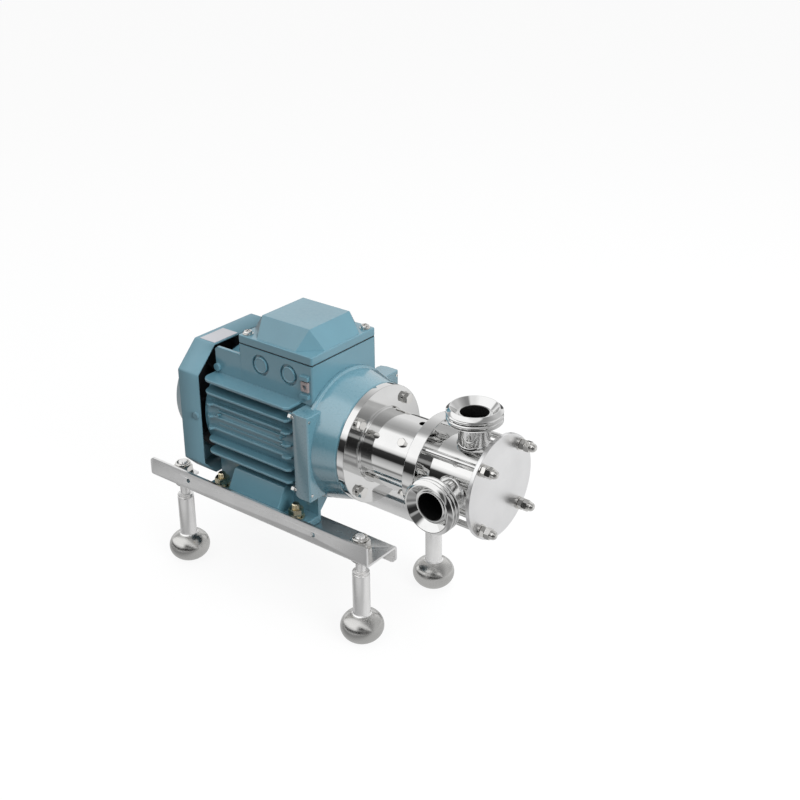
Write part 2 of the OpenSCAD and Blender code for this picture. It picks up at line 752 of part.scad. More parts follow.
module lantern_bolts() {
    color(steel) on_shaft() at_diagonals() {
        rod_x(-13.5, 9.4, 2.98, 0, lantern_pcd / 2);
        intersection() {
            hex_x(9.4, 13.6, 10, 0, lantern_pcd / 2, 15);
            translate([9.4, 0, lantern_pcd / 2]) rotate([0, 90, 0]) cylinder(h = 4.2, r1 = 7, r2 = 5.2, $fn = 48);
        }
    }
}

module lantern_washers() {
    color(steel) on_shaft() at_diagonals() translate([8, 0, lantern_pcd / 2]) rotate([0, 90, 0]) difference() {
        cylinder(h = 1.4, r = 6, $fn = 48);
        translate([0, 0, -1]) cylinder(h = 4, r = 3.2, $fn = 32);
    }
}

// Small screws that hold the pump spigot in the lantern tube
module lantern_screws() {
    color(steel) on_shaft() at_diagonals() translate([lantern_l - 17, 0, 0]) {
        translate([0, 0, 27]) cylinder(h = lantern_d / 2 - 25.5, r = 2.38, $fn = 32);
        difference() {
            translate([0, 0, lantern_d / 2 - 0.6]) cylinder(h = 3.6, r = 4.2, $fn = 6);
            rotate([0, 90, 0]) translate([0, 0, -10]) cylinder(h = 20, r = lantern_d / 2 + 0.01, $fn = 96);
        }
    }
}

// Stub shaft that sits over the motor shaft and carries the impeller
module pump_shaft() {
    e = cover_x - 2;
    color(steel) on_shaft() difference() {
        lathe_x([
            [6, shaft_d / 2 + 0.02], [6, 16], [7, 17], [44, 17], [47, 14], [50, 10], [e - 1, 10], [e, 9], [e, 0],
            [shaft_out + 1, 0], [shaft_out + 1, shaft_d / 2 + 0.02]
        ]);
        translate([5, -3, 0]) cube([36, 6, shaft_d / 2 + 2.8]);
        translate([chamber_x + 1, -12, 8]) cube([60, 24, 6]);
        translate([20, 0, -20]) cylinder(h = 14, r = 2.5, $fn = 32);
    }
}

module seal_seat() {
    color([0.25, 0.25, 0.27]) on_shaft() ring_x(60, 66, 18.97, 10.8);
}

module seal_ring() {
    color(dark) on_shaft() lathe_x([[66, 12], [66, 15], [67.5, 15], [67.5, 17], [72, 17], [72, 10.03], [67, 10.03], [67, 12]]);
}

module seal_bellows() {
    color(rubber) on_shaft() lathe_x(concat(
        [[72, 10.03], [72, 15]],
        [for (k = [0 : 4]) each [[73.2 + 2.4 * k, 17], [74.4 + 2.4 * k, 14.5]]],
        [[chamber_x - 0.5, 14.5], [chamber_x - 0.5, 10.03]]));
}

// Pump flange ring with the seal housing behind it
module pump_flange() {
    r = cover_d / 2;
    x = flange_x;
    color(steel) on_shaft() difference() {
        lathe_x([
            [x - 23, 21.5], [x - 23, 32.6], [x - 22, 33.45], [x, 33.45], [x, r - 1], [x + 1, r], [x + 12, r],
            [x + 13, r - 1], [x + 13, chamber_d / 2 - 0.05], [chamber_x, chamber_d / 2 - 0.05],
            [chamber_x, 19], [60, 19], [60, 12], [56, 12], [54, 21.5]
        ]);
        at_diagonals() rod_x(x + 2, x + 14, rod_d / 2, 0, rod_pcd / 2);
        at_diagonals() translate([x - 17, 0, 20]) cylinder(h = 20, r = 2.4, $fn = 32);
        translate([x - 13, 0, -40]) cylinder(h = 80, r = 3.5, $fn = 32);
    }
}

// Pump casing tube with both port holes and a groove for the front ring
module pump_casing() {
    color(steel) on_shaft() difference() {
        ring_x(casing_x, cover_x, casing_d / 2, chamber_d / 2);
        translate([port_x, 0, 0]) cylinder(h = 60, r = port_d / 2 + 0.02, $fn = 64);
        translate([port_x, 0, 0]) rotate([90, 0, 0]) cylinder(h = 60, r = port_d / 2 + 0.02, $fn = 64);
        ring_x(cover_x - 2, cover_x + 1, 35.9, 33.9);
        rotate([45, 0, 0]) translate([port_x, 0, 30]) cylinder(h = 10, r = 2.5, $fn = 32);
        rotate([45, 0, 0]) translate([port_x, 0, casing_d / 2 - 2.6]) cylinder(h = 4, r = 4.3, $fn = 32);
    }
}

// One port union drawn upright: tube, weld collar, round thread and cupped end
module port_union() {
    a = union_reach - 14;
    b = union_reach;
    rt = union_d / 2;
    turns = [for (z = [a + 1.2 : 0.35 : b - 3]) [rt - 1 + cos(360 * (z - a - 1.2) / thread_pitch), z]];
    color(steel) translate([port_x, 0, 0]) difference() {
        union() {
            rotate_extrude($fn = 96) polygon(concat(
                [[stem_bore / 2, 20], [port_d / 2, 20], [port_d / 2, a], [rt - 2, a]],
                turns,
                [[rt - 1.7, b - 2], [rt - 2.9, b - 0.4], [rt - 3.3, b], [rt - 4, b], [rt - 9.8, b - 6.4],
                 [port_bore / 2 + 1.8, b - 6.4], [port_bore / 2 + 1.6, b - 5.4], [port_bore / 2 + 0.4, b - 5.2],
                 [port_bore / 2, b - 5.6],
                 [port_bore / 2, stem_end], [stem_bore / 2, stem_end]]
            ));
            difference() {
                rotate_extrude($fn = 96) polygon([[port_d / 2 - 1, 28], [port_d / 2 + 2, 28], [port_d / 2 + 2, 38.6],
                    [port_d / 2 + 0.6, 40.6], [port_d / 2 - 1, 41.4]]);
                rotate([0, 90, 0]) translate([0, 0, -30]) cylinder(h = 60, r = casing_d / 2 + 0.02, $fn = 96);
            }
        }
        rotate([0, 90, 0]) translate([0, 0, -30]) cylinder(h = 60, r = chamber_d / 2, $fn = 96);
    }
}

module outlet_union() {
    on_shaft() port_union();
}

module inlet_union() {
    on_shaft() rotate([90, 0, 0]) port_union();
}

// Cam on the short arc between the ports, which bends the vanes
module cam() {
    color(steel) on_shaft() difference() {
        ring_x(chamber_x + 0.2, cover_x - 0.2, chamber_d / 2 - 0.02);
        rotate([45, 0, 0]) translate([0, 0, -9]) ring_x(chamber_x - 1, cover_x + 1, 35.5);
        for (a = [18, 72]) rotate([a, 0, 0]) translate([chamber_x - 1, a < 45 ? 0 : -80, -10]) cube([60, 80, 90]);
        translate([chamber_x - 1, -60, -60]) cube([60, 120, 60]);
        rotate([45, 0, 0]) translate([port_x, 0, 20]) cylinder(h = 20, r = 2.5, $fn = 32);
    }
}

// Sunk screw that holds the cam
module cam_screw() {
    color(steel) on_shaft() rotate([45, 0, 0]) translate([port_x, 0, 0]) difference() {
        union() {
            translate([0, 0, 28]) cylinder(h = casing_d / 2 - 29, r = 2.48, $fn = 32);
            translate([0, 0, casing_d / 2 - 2.6]) cylinder(h = 2.3, r = 4.25, $fn = 32);
        }
        translate([0, 0, casing_d / 2 - 2]) cylinder(h = 4, r = 2, $fn = 6);
    }
}

// Reach of a vane at an angle from straight up toward the inlet: short where it meets the cam
function cam_reach(a) =
    let (d = abs(a - 45))
    d > 30 ? chamber_d / 2 - 0.3 : 9 * -cos(d) + sqrt(35.5 * 35.5 - 81 * sin(d) * sin(d)) - 0.3;

// Rubber impeller: hub and vanes with round tips, bent over at the cam
module impeller() {
    a = chamber_x + 0.3;
    b = cover_x - 0.3;
    free = chamber_d / 2 - 0.3;
    tip_r = 2.4;
    color([0.12, 0.12, 0.13]) on_shaft() {
        ring_x(a, b, 20, 14.02);
        for (k = [0 : vane_count - 1]) {
            t = 9 + k * 360 / vane_count;
            lean = 3.4 * (free - cam_reach(t - 90));
            tip = min(cam_reach(t - 90), cam_reach(t - 90 + lean)) - tip_r;
            along_x(a, b) polygon([
                for (p = [[17, -8], [tip, lean - 3.2], [tip, lean + 3.2], [17, 8]])
                    [p[0] * cos(t + p[1]), p[0] * sin(t + p[1])]]);
            rod_x(a, b, tip_r, tip * cos(t + lean), tip * sin(t + lean));
        }
    }
}

module impeller_bushing() {
    color(brass) on_shaft() difference() {
        ring_x(chamber_x + 1, cover_x - 2, 14);
        difference() {
            ring_x(chamber_x, cover_x, 10.02);
            translate([chamber_x - 1, -12, 8.02]) cube([70, 24, 6]);
        }
    }
}

module front_o_ring() {
    color(rubber) on_shaft() translate([cover_x - 1, 0, 0]) rotate([0, 90, 0])
        rotate_extrude($fn = 96) translate([34.9, 0]) circle(r = 0.99, $fn = 24);
}

module front_cover() {
    r = cover_d / 2;
    color(satin) on_shaft() difference() {
        lathe_x([[cover_x, 0], [cover_x, r - 0.5], [cover_x + 0.5, r], [nut_x - 0.5, r], [nut_x, r - 0.5], [nut_x, 0]]);
        at_diagonals() rod_x(cover_x - 1, nut_x + 1, rod_d / 2 + 0.2, 0, rod_pcd / 2);
    }
}

module tie_rods() {
    color(steel) on_shaft() at_diagonals() rod_x(flange_x + 2, nut_x + 11.4, rod_d / 2 - 0.02, 0, rod_pcd / 2);
}

module cover_washers() {
    color(steel) on_shaft() at_diagonals() translate([nut_x, 0, rod_pcd / 2]) rotate([0, 90, 0]) difference() {
        cylinder(h = 1.2, r = 6, $fn = 48);
        translate([0, 0, -1]) cylinder(h = 4, r = rod_d / 2 + 0.2, $fn = 32);
    }
}

module cover_nuts() {
    color(steel) on_shaft() at_diagonals() difference() {
        hex_x(nut_x + 1.2, nut_x + 5.8, 9.6, 0, rod_pcd / 2, 10);
        rod_x(nut_x, nut_x + 8, rod_d / 2, 0, rod_pcd / 2);
    }
}

module dome_nuts() {
    color(steel) on_shaft() at_diagonals() difference() {
        union() {
            intersection() {
                hex_x(nut_x + 6, nut_x + 11.2, 9.6, 0, rod_pcd / 2, 25);
                translate([nut_x + 6, 0, rod_pcd / 2]) rotate([0, 90, 0]) cylinder(h = 5.2, r1 = 7, r2 = 5, $fn = 48);
            }
            rod_x(nut_x + 10, nut_x + 12.8, 4.2, 0, rod_pcd / 2);
            translate([nut_x + 12.8, 0, rod_pcd / 2]) sphere(r = 4.2, $fn = 40);
        }
        rod_x(nut_x + 5, nut_x + 12, rod_d / 2, 0, rod_pcd / 2);
    }
}

near_rail();
far_rail();
foot_front_near();
foot_front_far();
foot_rear_near();
foot_rear_far();
foot_studs();
foot_nuts();
foot_lock_nuts();
foot_washers();
motor_foot_bolts();
motor_foot_nuts();
motor_foot_washers();
motor_housing();
motor_feet();
front_end_shield();
rear_end_shield();
end_shield_screws();
fan_cover();
fan_cover_screws();
rating_plate();
cooling_fan();
motor_shaft();
rotor_core();
stator_core();
stator_windings();
front_bearing_outer();
front_bearing_inner();
rear_bearing_outer();
rear_bearing_inner();
box_gasket();
box_lid();
lid_screws();
cable_entry_plugs();
terminal_board();
terminal_studs();
lantern();
lantern_bolts();
lantern_washers();
lantern_screws();
pump_shaft();
shaft_key();
seal_seat();
seal_ring();
seal_bellows();
pump_flange();
pump_casing();
outlet_union();
inlet_union();
cam();
cam_screw();
impeller();
impeller_bushing();
front_o_ring();
front_cover();
tie_rods();
cover_washers();
cover_nuts();
dome_nuts();
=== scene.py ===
"""Dresses the flexible impeller pump: pump head, lantern, finned motor, rails and four adjustable feet.

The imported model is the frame. New pieces are modelled in millimetres, measured along the shaft from the
motor flange face and across it from the shaft axis. They go to their place in metres when they are done.
"""
import json
import logging
import math
from dataclasses import dataclass, field
from enum import Enum
from typing import Callable

import bmesh
import bpy
from mathutils import Matrix, Vector


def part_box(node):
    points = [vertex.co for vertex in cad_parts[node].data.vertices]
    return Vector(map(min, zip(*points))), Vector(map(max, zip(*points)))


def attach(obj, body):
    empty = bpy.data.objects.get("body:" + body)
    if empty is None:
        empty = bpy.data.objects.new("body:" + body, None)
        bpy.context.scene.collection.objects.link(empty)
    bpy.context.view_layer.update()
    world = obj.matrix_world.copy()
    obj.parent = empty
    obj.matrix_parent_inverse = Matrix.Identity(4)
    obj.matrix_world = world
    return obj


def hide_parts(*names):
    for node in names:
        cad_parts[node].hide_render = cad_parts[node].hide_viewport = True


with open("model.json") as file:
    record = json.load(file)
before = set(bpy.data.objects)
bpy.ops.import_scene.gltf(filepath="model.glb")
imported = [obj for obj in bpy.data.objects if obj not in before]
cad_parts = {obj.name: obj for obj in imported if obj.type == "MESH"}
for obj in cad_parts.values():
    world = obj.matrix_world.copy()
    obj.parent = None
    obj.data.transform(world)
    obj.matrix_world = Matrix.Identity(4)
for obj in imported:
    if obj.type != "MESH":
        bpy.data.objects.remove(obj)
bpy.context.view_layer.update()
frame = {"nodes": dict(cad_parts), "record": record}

LOG = logging.getLogger("pump")
MM = 0.001
MICRON = 0.000001
BASE_BODY = "base"
CREASE = math.radians(34)

Outline = list[tuple[float, float]]
Point = tuple[float, float, float]
Measure = Callable[[float], float]


def node_centre(node: str) -> Vector:
    """Middle of a CAD node's box.

    Args:
        node: Name of the node.

    Returns:
        The middle of its box in metres.
    """
    low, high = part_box(node)
    return (low + high) / 2


FACE_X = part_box("lantern")[0].x
SHAFT_Z = node_centre("front_cover").z
FLOOR_MM = -SHAFT_Z / MM
TO_FRAME = Matrix.Translation((FACE_X, 0.0, SHAFT_Z)) @ Matrix.Scale(MM, 4)


class Axis(Enum):
    """A main direction of the object: along the shaft, across it, or up."""

    X = (1.0, 0.0, 0.0)
    Y = (0.0, 1.0, 0.0)
    Z = (0.0, 0.0, 1.0)

    def point(self, along: float, u: float, v: float) -> Vector:
        """Point at a distance along this axis, with the two other coordinates in X, Y, Z order.

        Args:
            along: Distance along this axis.
            u: First of the other coordinates.
            v: Second of the other coordinates.

        Returns:
            The point.
        """
        if self is Axis.X:
            return Vector((along, u, v))
        if self is Axis.Y:
            return Vector((u, along, v))
        return Vector((u, v, along))


def arc(cx: float, cy: float, radius: float, start: float, end: float, count: int = 8) -> Outline:
    """Points of a circular arc.

    Args:
        cx: First coordinate of the centre.
        cy: Second coordinate of the centre.
        radius: Radius of the arc.
        start: First angle in degrees.
        end: Last angle in degrees.
        count: Number of steps between the first and the last point.

    Returns:
        The points in order, with both ends.
    """
    angles = [math.radians(start + (end - start) * i / count) for i in range(count + 1)]
    return [(cx + radius * math.cos(a), cy + radius * math.sin(a)) for a in angles]


def turn(degrees: float, axis: Axis = Axis.X) -> Matrix:
    """Rotation about an axis through the origin."""
    return Matrix.Rotation(math.radians(degrees), 4, Vector(axis.value))


def shift(x: float = 0.0, y: float = 0.0, z: float = 0.0) -> Matrix:
    """Translation in millimetres."""
    return Matrix.Translation((x, y, z))


DIAGONALS = [turn(a) for a in (45, 135, 225, 315)]
UPRIGHT = turn(-90, Axis.Y)
RAIL_TOP = -80.0
PAD_HEIGHT = 9.0
BOLT_PLACES = (-150.0, -50.0)
BOLT_SIDE = 62.5
BOX_REAR = -131.6
BOX_FRONT = -37.2
BOX_SIDE = 46.2
BOTH_SIDES = (1, -1)


class Form:
    """A mesh modelled with bmesh operators, in millimetres from the flange face and the shaft axis."""

    def __init__(self) -> None:
        """Starts an empty mesh."""
        self.bm = bmesh.new()

    @classmethod
    def turned(cls, profile: Outline, axis: Axis = Axis.X, centre: Point = (0, 0, 0),
               steps: int = 96) -> "Form":
        """Spins a profile round an axis.

        Args:
            profile: Pairs of place along the axis and radius. It is closed if neither end is on the axis.
            axis: Direction of the axis.
            centre: A point on the axis, from which places are measured.
            steps: Number of faces round the axis.

        Returns:
            The turned form.
        """
        form = cls()
        verts = [form.bm.verts.new(axis.point(a, 0, r) + Vector(centre)) for a, r in profile]
        edges = [form.bm.edges.new(pair) for pair in zip(verts, verts[1:])]
        if profile[0][1] > 0 and profile[-1][1] > 0:
            edges.append(form.bm.edges.new((verts[-1], verts[0])))
        bmesh.ops.spin(form.bm, geom=verts + edges, cent=centre, axis=axis.value, dvec=(0, 0, 0),
                       angle=math.tau, steps=steps, use_merge=True, use_duplicate=False)
        bmesh.ops.remove_doubles(form.bm, verts=form.bm.verts[:], dist=1e-4)
        return form.outward()

    @classmethod
    def prism(cls, outline: Outline, axis: Axis, low: float, high: float) -> "Form":
        """Extrudes a flat outline along an axis.

        Args:
            outline: Corner points in the plane across the axis.
            axis: Direction of the extrusion.
            low: Place of the first end.
            high: Place of the last end.

        Returns:
            The closed prism.
        """
        form = cls()
        face = form.bm.faces.new([form.bm.verts.new(axis.point(low, u, v)) for u, v in outline])
        made = bmesh.ops.extrude_face_region(form.bm, geom=[face])["geom"]
        moved = [v for v in made if isinstance(v, bmesh.types.BMVert)]
        bmesh.ops.translate(form.bm, verts=moved, vec=Vector(axis.value) * (high - low))
        return form.outward()

    @classmethod
    def block(cls, low: Point, high: Point) -> "Form":
        """Box between two corners.

        Args:
            low: Corner with the smallest coordinates.
            high: Corner with the largest ones.

        Returns:
            The box.
        """
        form = cls()
        size = Vector(high) - Vector(low)
        matrix = Matrix.Translation(Vector(low) + size / 2) @ Matrix.Diagonal((*size, 1.0))
        bmesh.ops.create_cube(form.bm, size=1.0, matrix=matrix)
        return form

    @classmethod
    def rod(cls, start: float, end: float, radius: float, axis: Axis = Axis.X,
            centre: Point = (0, 0, 0), steps: int = 40) -> "Form":
        """Solid round bar along an axis."""
        return cls.turned([(start, 0), (start, radius), (end, radius), (end, 0)], axis, centre, steps)

    @classmethod
    def ring(cls, low: float, high: float, inner: float, outer: float, axis: Axis = Axis.X,
             centre: Point = (0, 0, 0), steps: int = 48) -> "Form":
        """Ring or tube with a rectangular section.

        Args:
            low: Place of the first end along the axis.
            high: Place of the last end.
            inner: Inner radius.
            outer: Outer radius.
            axis: Direction of the axis.
            centre: A point on the axis, from which places are measured.
            steps: Number of faces round the axis.

        Returns:
            The closed ring.
        """
        return cls.turned([(low, inner), (low, outer), (high, outer), (high, inner)], axis, centre, steps)

    @classmethod
    def hull(cls, points: list[Point]) -> "Form":
        """Convex solid round some points, with its flat faces whole.

        Args:
            points: The points, in millimetres.

        Returns:
            The solid.
        """
        form = cls()
        verts = [form.bm.verts.new(p) for p in points]
        bmesh.ops.convex_hull(form.bm, input=verts)
        bmesh.ops.dissolve_limit(form.bm, angle_limit=0.01, verts=form.bm.verts[:], edges=form.bm.edges[:])
        return form.outward()

    @classmethod
    def nut(cls, start: float, end: float, flats: float, both: bool = False) -> "Form":
        """Hexagon nut or head along X, with the round chamfer of a real one.

        Args:
            start: Place of the seat.
            end: Place of the chamfered face.
            flats: Width over the flats.
            both: True to chamfer the seat too.

        Returns:
            The nut, round the shaft axis.
        """
        form = cls()
        count = 72
        angles = [math.tau * i / count for i in range(count)]
        rim = flats / 2 * 0.94
        drop = math.tan(math.radians(30))

        def ring(place: Measure, radius: Measure) -> list[bmesh.types.BMVert]:
            """Ring of vertices whose place and radius follow the angle."""
            return [form.bm.verts.new((place(a), radius(a) * math.sin(a), radius(a) * math.cos(a)))
                    for a in angles]

        def hexagon(a: float) -> float:
            """Radius of the hexagon at an angle."""
            return flats / 2 / math.cos((a + math.pi / 6) % (math.pi / 3) - math.pi / 6)

        def fall(a: float) -> float:
            """Depth of the chamfer at an angle."""
            return (hexagon(a) - rim) * drop

        rings = [ring(lambda a: start, lambda a: rim if both else hexagon(a))]
        if both:
            rings.append(ring(lambda a: start + fall(a), hexagon))
        rings.append(ring(lambda a: end - fall(a), hexagon))
        rings.append(ring(lambda a: end, lambda a: rim))
        for one, two in zip(rings, rings[1:]):
            for i in range(count):
                j = (i + 1) % count
                form.bm.faces.new((one[i], one[j], two[j], two[i]))
        form.bm.faces.new(rings[0])
        form.bm.faces.new(rings[-1])
        return form.outward()

    def outward(self) -> "Form":
        """Turns every face outward."""
        bmesh.ops.recalc_face_normals(self.bm, faces=self.bm.faces[:])
        return self

    def soften(self, width: float, segments: int = 2, angle: float = 28.0,
               pick: Callable[[bmesh.types.BMEdge], bool] | None = None) -> "Form":
        """Rounds the sharp edges.

        Args:
            width: How far each rounding reaches, in millimetres.
            segments: Number of faces across a rounding.
            angle: Smallest angle between faces that counts as sharp, in degrees.
            pick: Test for the edges to round, where only some are wanted.

        Returns:
            This form.
        """
        limit = math.radians(angle)
        sharp = [e for e in self.bm.edges if len(e.link_faces) == 2 and e.calc_face_angle(0.0) > limit]
        edges = [e for e in sharp if pick is None or pick(e)]
        bmesh.ops.bevel(self.bm, geom=edges, offset=width, offset_type="OFFSET", segments=segments,
                        profile=0.5, affect="EDGES", clamp_overlap=True, material=-1)
        return self

    def moved(self, matrix: Matrix) -> "Form":
        """Moves the whole form.

        Args:
            matrix: The motion to apply.

        Returns:
            This form.
        """
        bmesh.ops.transform(self.bm, matrix=matrix, verts=self.bm.verts[:])
        if matrix.determinant() < 0:
            bmesh.ops.reverse_faces(self.bm, faces=self.bm.faces[:])
        return self

    def mesh(self) -> bpy.types.Mesh:
        """Copy of the form as mesh data.

        Returns:
            The new mesh data.
        """
        data = bpy.data.meshes.new("form")
        self.bm.to_mesh(data)
        return data

    def join(self, *others: "Form") -> "Form":
        """Takes the faces of other forms into this one.

        Args:
            others: The forms to take in.

        Returns:
            This form.
        """
        for other in others:
            data = other.mesh()
            self.bm.from_mesh(data)
            bpy.data.meshes.remove(data)
        return self

    def copy(self, matrix: Matrix | None = None) -> "Form":
        """Copy of this form, moved if a matrix is given."""
        return Form().join(self).moved(matrix or Matrix())

    def repeated(self, matrices: list[Matrix]) -> "Form":
        """Copies of this form at each matrix, as one form."""
        return Form().join(*[self.copy(m) for m in matrices])

    def both_sides(self) -> "Form":
        """This form with its mirror image on the other side of the shaft."""
        return Form().join(self, self.copy(Matrix.Diagonal((1, -1, 1, 1))))

    def cut(self, tool: "Form") -> "Form":
        """Removes the space of a closed form from this one.

        Args:
            tool: The form that gives the space. It is used up.

        Returns:
            This form.
        """
        scene = bpy.context.scene.collection
        main = bpy.data.objects.new("main", self.mesh())
        other = bpy.data.objects.new("tool", tool.mesh())
        for obj in (main, other):
            scene.objects.link(obj)
        modifier = main.modifiers.new("cut", "BOOLEAN")
        modifier.operation = "DIFFERENCE"
        modifier.solver = "EXACT"
        modifier.use_self = True
        modifier.object = other
        bpy.context.view_layer.update()
        result = bpy.data.meshes.new_from_object(main.evaluated_get(bpy.context.evaluated_depsgraph_get()))
        self.bm.clear()
        self.bm.from_mesh(result)
        meshes = [main.data, other.data, result]
        for obj in (main, other):
            bpy.data.objects.remove(obj)
        for data in meshes:
            bpy.data.meshes.remove(data)
        return self


class Wiring:
    """Short way to add and join the shader nodes of a material or a world."""

    def __init__(self, owner: bpy.types.Material | bpy.types.World) -> None:
        """Starts with an empty node tree.

        Args:
            owner: The material or world to wire up.
        """
        self.owner = owner
        owner.use_nodes = True
        self.tree = owner.node_tree
        self.tree.nodes.clear()

    def node(self, kind: str, **settings: object) -> bpy.types.Node:
        """New node with its properties set.

        Args:
            kind: Type name of the node.
            settings: Properties of the node by name.

        Returns:
            The new node.
        """
        made = self.tree.nodes.new(kind)
        for key, value in settings.items():
            setattr(made, key, value)
        return made

    def link(self, source: bpy.types.NodeSocket, target: bpy.types.NodeSocket) -> None:
        """Joins two sockets."""
        self.tree.links.new(source, target)

    def math(self, operation: str, one: object, two: object) -> bpy.types.NodeSocket:
        """Math node on sockets or numbers.

        Args:
            operation: Name of the operation.
            one: First number or socket.
            two: Second number or socket.

        Returns:
            The value output.
        """
        made = self.node("ShaderNodeMath", operation=operation)
        for value, socket in ((one, made.inputs[0]), (two, made.inputs[1])):
            if isinstance(value, (int, float)):
                socket.default_value = value
            else:
                self.link(value, socket)
        return made.outputs["Value"]

    def spread(self, value: bpy.types.NodeSocket, low: float, high: float,
               start: float = 0.3, end: float = 0.7) -> bpy.types.NodeSocket:
        """Maps a value from one span to another, held at both ends.

        Args:
            value: The value to map.
            low: Result at the start.
            high: Result at the end.
            start: Value that gives the first result.
            end: Value that gives the last result.

        Returns:
            The mapped value.
        """
        made = self.node("ShaderNodeMapRange")
        made.inputs["From Min"].default_value = start
        made.inputs["From Max"].default_value = end
        made.inputs["To Min"].default_value = low
        made.inputs["To Max"].default_value = high
        self.link(value, made.inputs["Value"])
        return made.outputs["Result"]

    def tones(self, value: bpy.types.NodeSocket, stops: list[tuple[float, Point]]) -> bpy.types.NodeSocket:
        """Colour ramp on a value.

        Args:
            value: The value to colour.
            stops: Pairs of place and colour.

        Returns:
            The colour output.
        """
        ramp = self.node("ShaderNodeValToRGB")
        elements = ramp.color_ramp.elements
        while len(elements) < len(stops):
            elements.new(0.5)
        for element, (place, colour) in zip(elements, stops):
            element.position = place
            element.color = (*colour, 1.0)
        self.link(value, ramp.inputs["Fac"])
        return ramp.outputs["Color"]

    def greys(self, value: bpy.types.NodeSocket, stops: Outline) -> bpy.types.NodeSocket:
        """Grey ramp between the first and the last place of its stops.

        Args:
            value: The value to colour, in the unit of the stops.
            stops: Pairs of place and grey.

        Returns:
            The colour output.
        """
        low, high = stops[0][0], stops[-1][0]
        share = self.spread(value, 0.0, 1.0, low, high)
        return self.tones(share, [((place - low) / (high - low), (grey,) * 3) for place, grey in stops])

    def pick(self, choice: bpy.types.NodeSocket, no: object, yes: object) -> bpy.types.NodeSocket:
        """Colour that depends on a choice of 0 or 1. Each colour is a socket or three numbers.

        Args:
            choice: Socket with the choice.
            no: Colour at 0.
            yes: Colour at 1.

        Returns:
            The colour output.
        """
        made = self.node("ShaderNodeMix", data_type="RGBA")
        self.link(choice, made.inputs[0])
        for value, socket in ((no, made.inputs[6]), (yes, made.inputs[7])):
            if isinstance(value, tuple):
                socket.default_value = (*value, 1.0)
            else:
                self.link(value, socket)
        return made.outputs[2]


class Shader(Wiring):
    """Wiring of one surface material."""

    def __init__(self, name: str) -> None:
        """Starts a material with its surface shader and output.

        Args:
            name: Name of the material.
        """
        super().__init__(bpy.data.materials.new(name))
        self.bsdf = self.node("ShaderNodeBsdfPrincipled")
        self.link(self.bsdf.outputs["BSDF"], self.node("ShaderNodeOutputMaterial").inputs["Surface"])
        self.coords = self.node("ShaderNodeTexCoord").outputs["Object"]

    def set(self, **values: object) -> None:
        """Sets plain values on the surface shader, with underscores for the spaces in the names."""
        for key, value in values.items():
            self.bsdf.inputs[key.replace("_", " ")].default_value = value

    def noise(self, scale: float, detail: float = 3.0, roughness: float = 0.55,
              stretch: Point = (1, 1, 1)) -> bpy.types.NodeSocket:
        """Noise on object coordinates.

        Args:
            scale: Number of spots in a metre.
            detail: Number of finer layers.
            roughness: Weight of the finer layers.
            stretch: Scale along each axis.

        Returns:
            The value output.
        """
        mapping = self.node("ShaderNodeMapping")
        mapping.inputs["Scale"].default_value = stretch
        self.link(self.coords, mapping.inputs["Vector"])
        texture = self.node("ShaderNodeTexNoise")
        texture.inputs["Scale"].default_value = scale
        texture.inputs["Detail"].default_value = detail
        texture.inputs["Roughness"].default_value = roughness
        self.link(mapping.outputs["Vector"], texture.inputs["Vector"])
        return texture.outputs["Fac"]

    def turned_lines(self, scale: float, up: float) -> bpy.types.NodeSocket:
        """Fine rings round the shaft axis, as a lathe leaves them.

        Args:
            scale: Number of rings in a metre.
            up: Height of the axis in metres.

        Returns:
            The value output.
        """
        split = self.node("ShaderNodeSeparateXYZ")
        self.link(self.coords, split.inputs["Vector"])
        height = self.math("SUBTRACT", split.outputs["Z"], up)
        square = self.math("ADD", self.math("MULTIPLY", height, height),
                           self.math("MULTIPLY", split.outputs["Y"], split.outputs["Y"]))
        radius = self.math("SQRT", square, 0.0)
        place = self.node("ShaderNodeCombineXYZ")
        self.link(radius, place.inputs["X"])
        self.link(split.outputs["X"], place.inputs["Y"])
        texture = self.node("ShaderNodeTexNoise")
        texture.inputs["Scale"].default_value = scale
        texture.inputs["Detail"].default_value = 2.0
        self.link(place.outputs["Vector"], texture.inputs["Vector"])
        return texture.outputs["Fac"]

    def bump(self, heights: list[tuple[bpy.types.NodeSocket, float]]) -> None:
        """Stacks bumps on the surface.

        Args:
            heights: Pairs of a value from 0 to 1 and its depth in metres.
        """
        below = None
        for height, depth in heights:
            made = self.node("ShaderNodeBump")
            made.inputs["Strength"].default_value = 1.0
            made.inputs["Distance"].default_value = depth
            self.link(height, made.inputs["Height"])
            if below:
                self.link(below, made.inputs["Normal"])
            below = made.outputs["Normal"]
        self.link(below, self.bsdf.inputs["Normal"])


def tinted(colour: Point, factor: float) -> Point:
    """Colour made lighter or darker by a factor."""
    return tuple(min(1.0, c * factor) for c in colour)


@dataclass(frozen=True)
class Paint:
    """Semi-gloss enamel over a casting or a pressed sheet."""

    name: str
    colour: Point
    roughness: float = 0.34
    grain_depth: float = 50 * MICRON
    coat_roughness: float = 0.12
    coat_ior: float = 1.55
    sheen: float = 0.5

    def material(self) -> bpy.types.Material:
        """Builds the paint with uneven tone, orange peel and the grain of the metal under it.

        Returns:
            The material.
        """
        s = Shader(self.name)
        s.set(Metallic=0.0, IOR=1.5, Specular_IOR_Level=self.sheen, Coat_Weight=2 * self.sheen,
              Coat_Roughness=self.coat_roughness, Coat_IOR=self.coat_ior)
        patches = s.noise(14.0, 4.0)
        s.link(s.tones(patches, [(0.32, tinted(self.colour, 0.94)), (0.68, tinted(self.colour, 1.06))]),
               s.bsdf.inputs["Base Color"])
        s.link(s.spread(s.noise(260.0, 3.0), self.roughness - 0.05, self.roughness + 0.08),
               s.bsdf.inputs["Roughness"])
        s.bump([(s.noise(420.0, 3.0), self.grain_depth), (s.noise(1500.0, 2.0), self.grain_depth * 0.35)])
        return s.owner


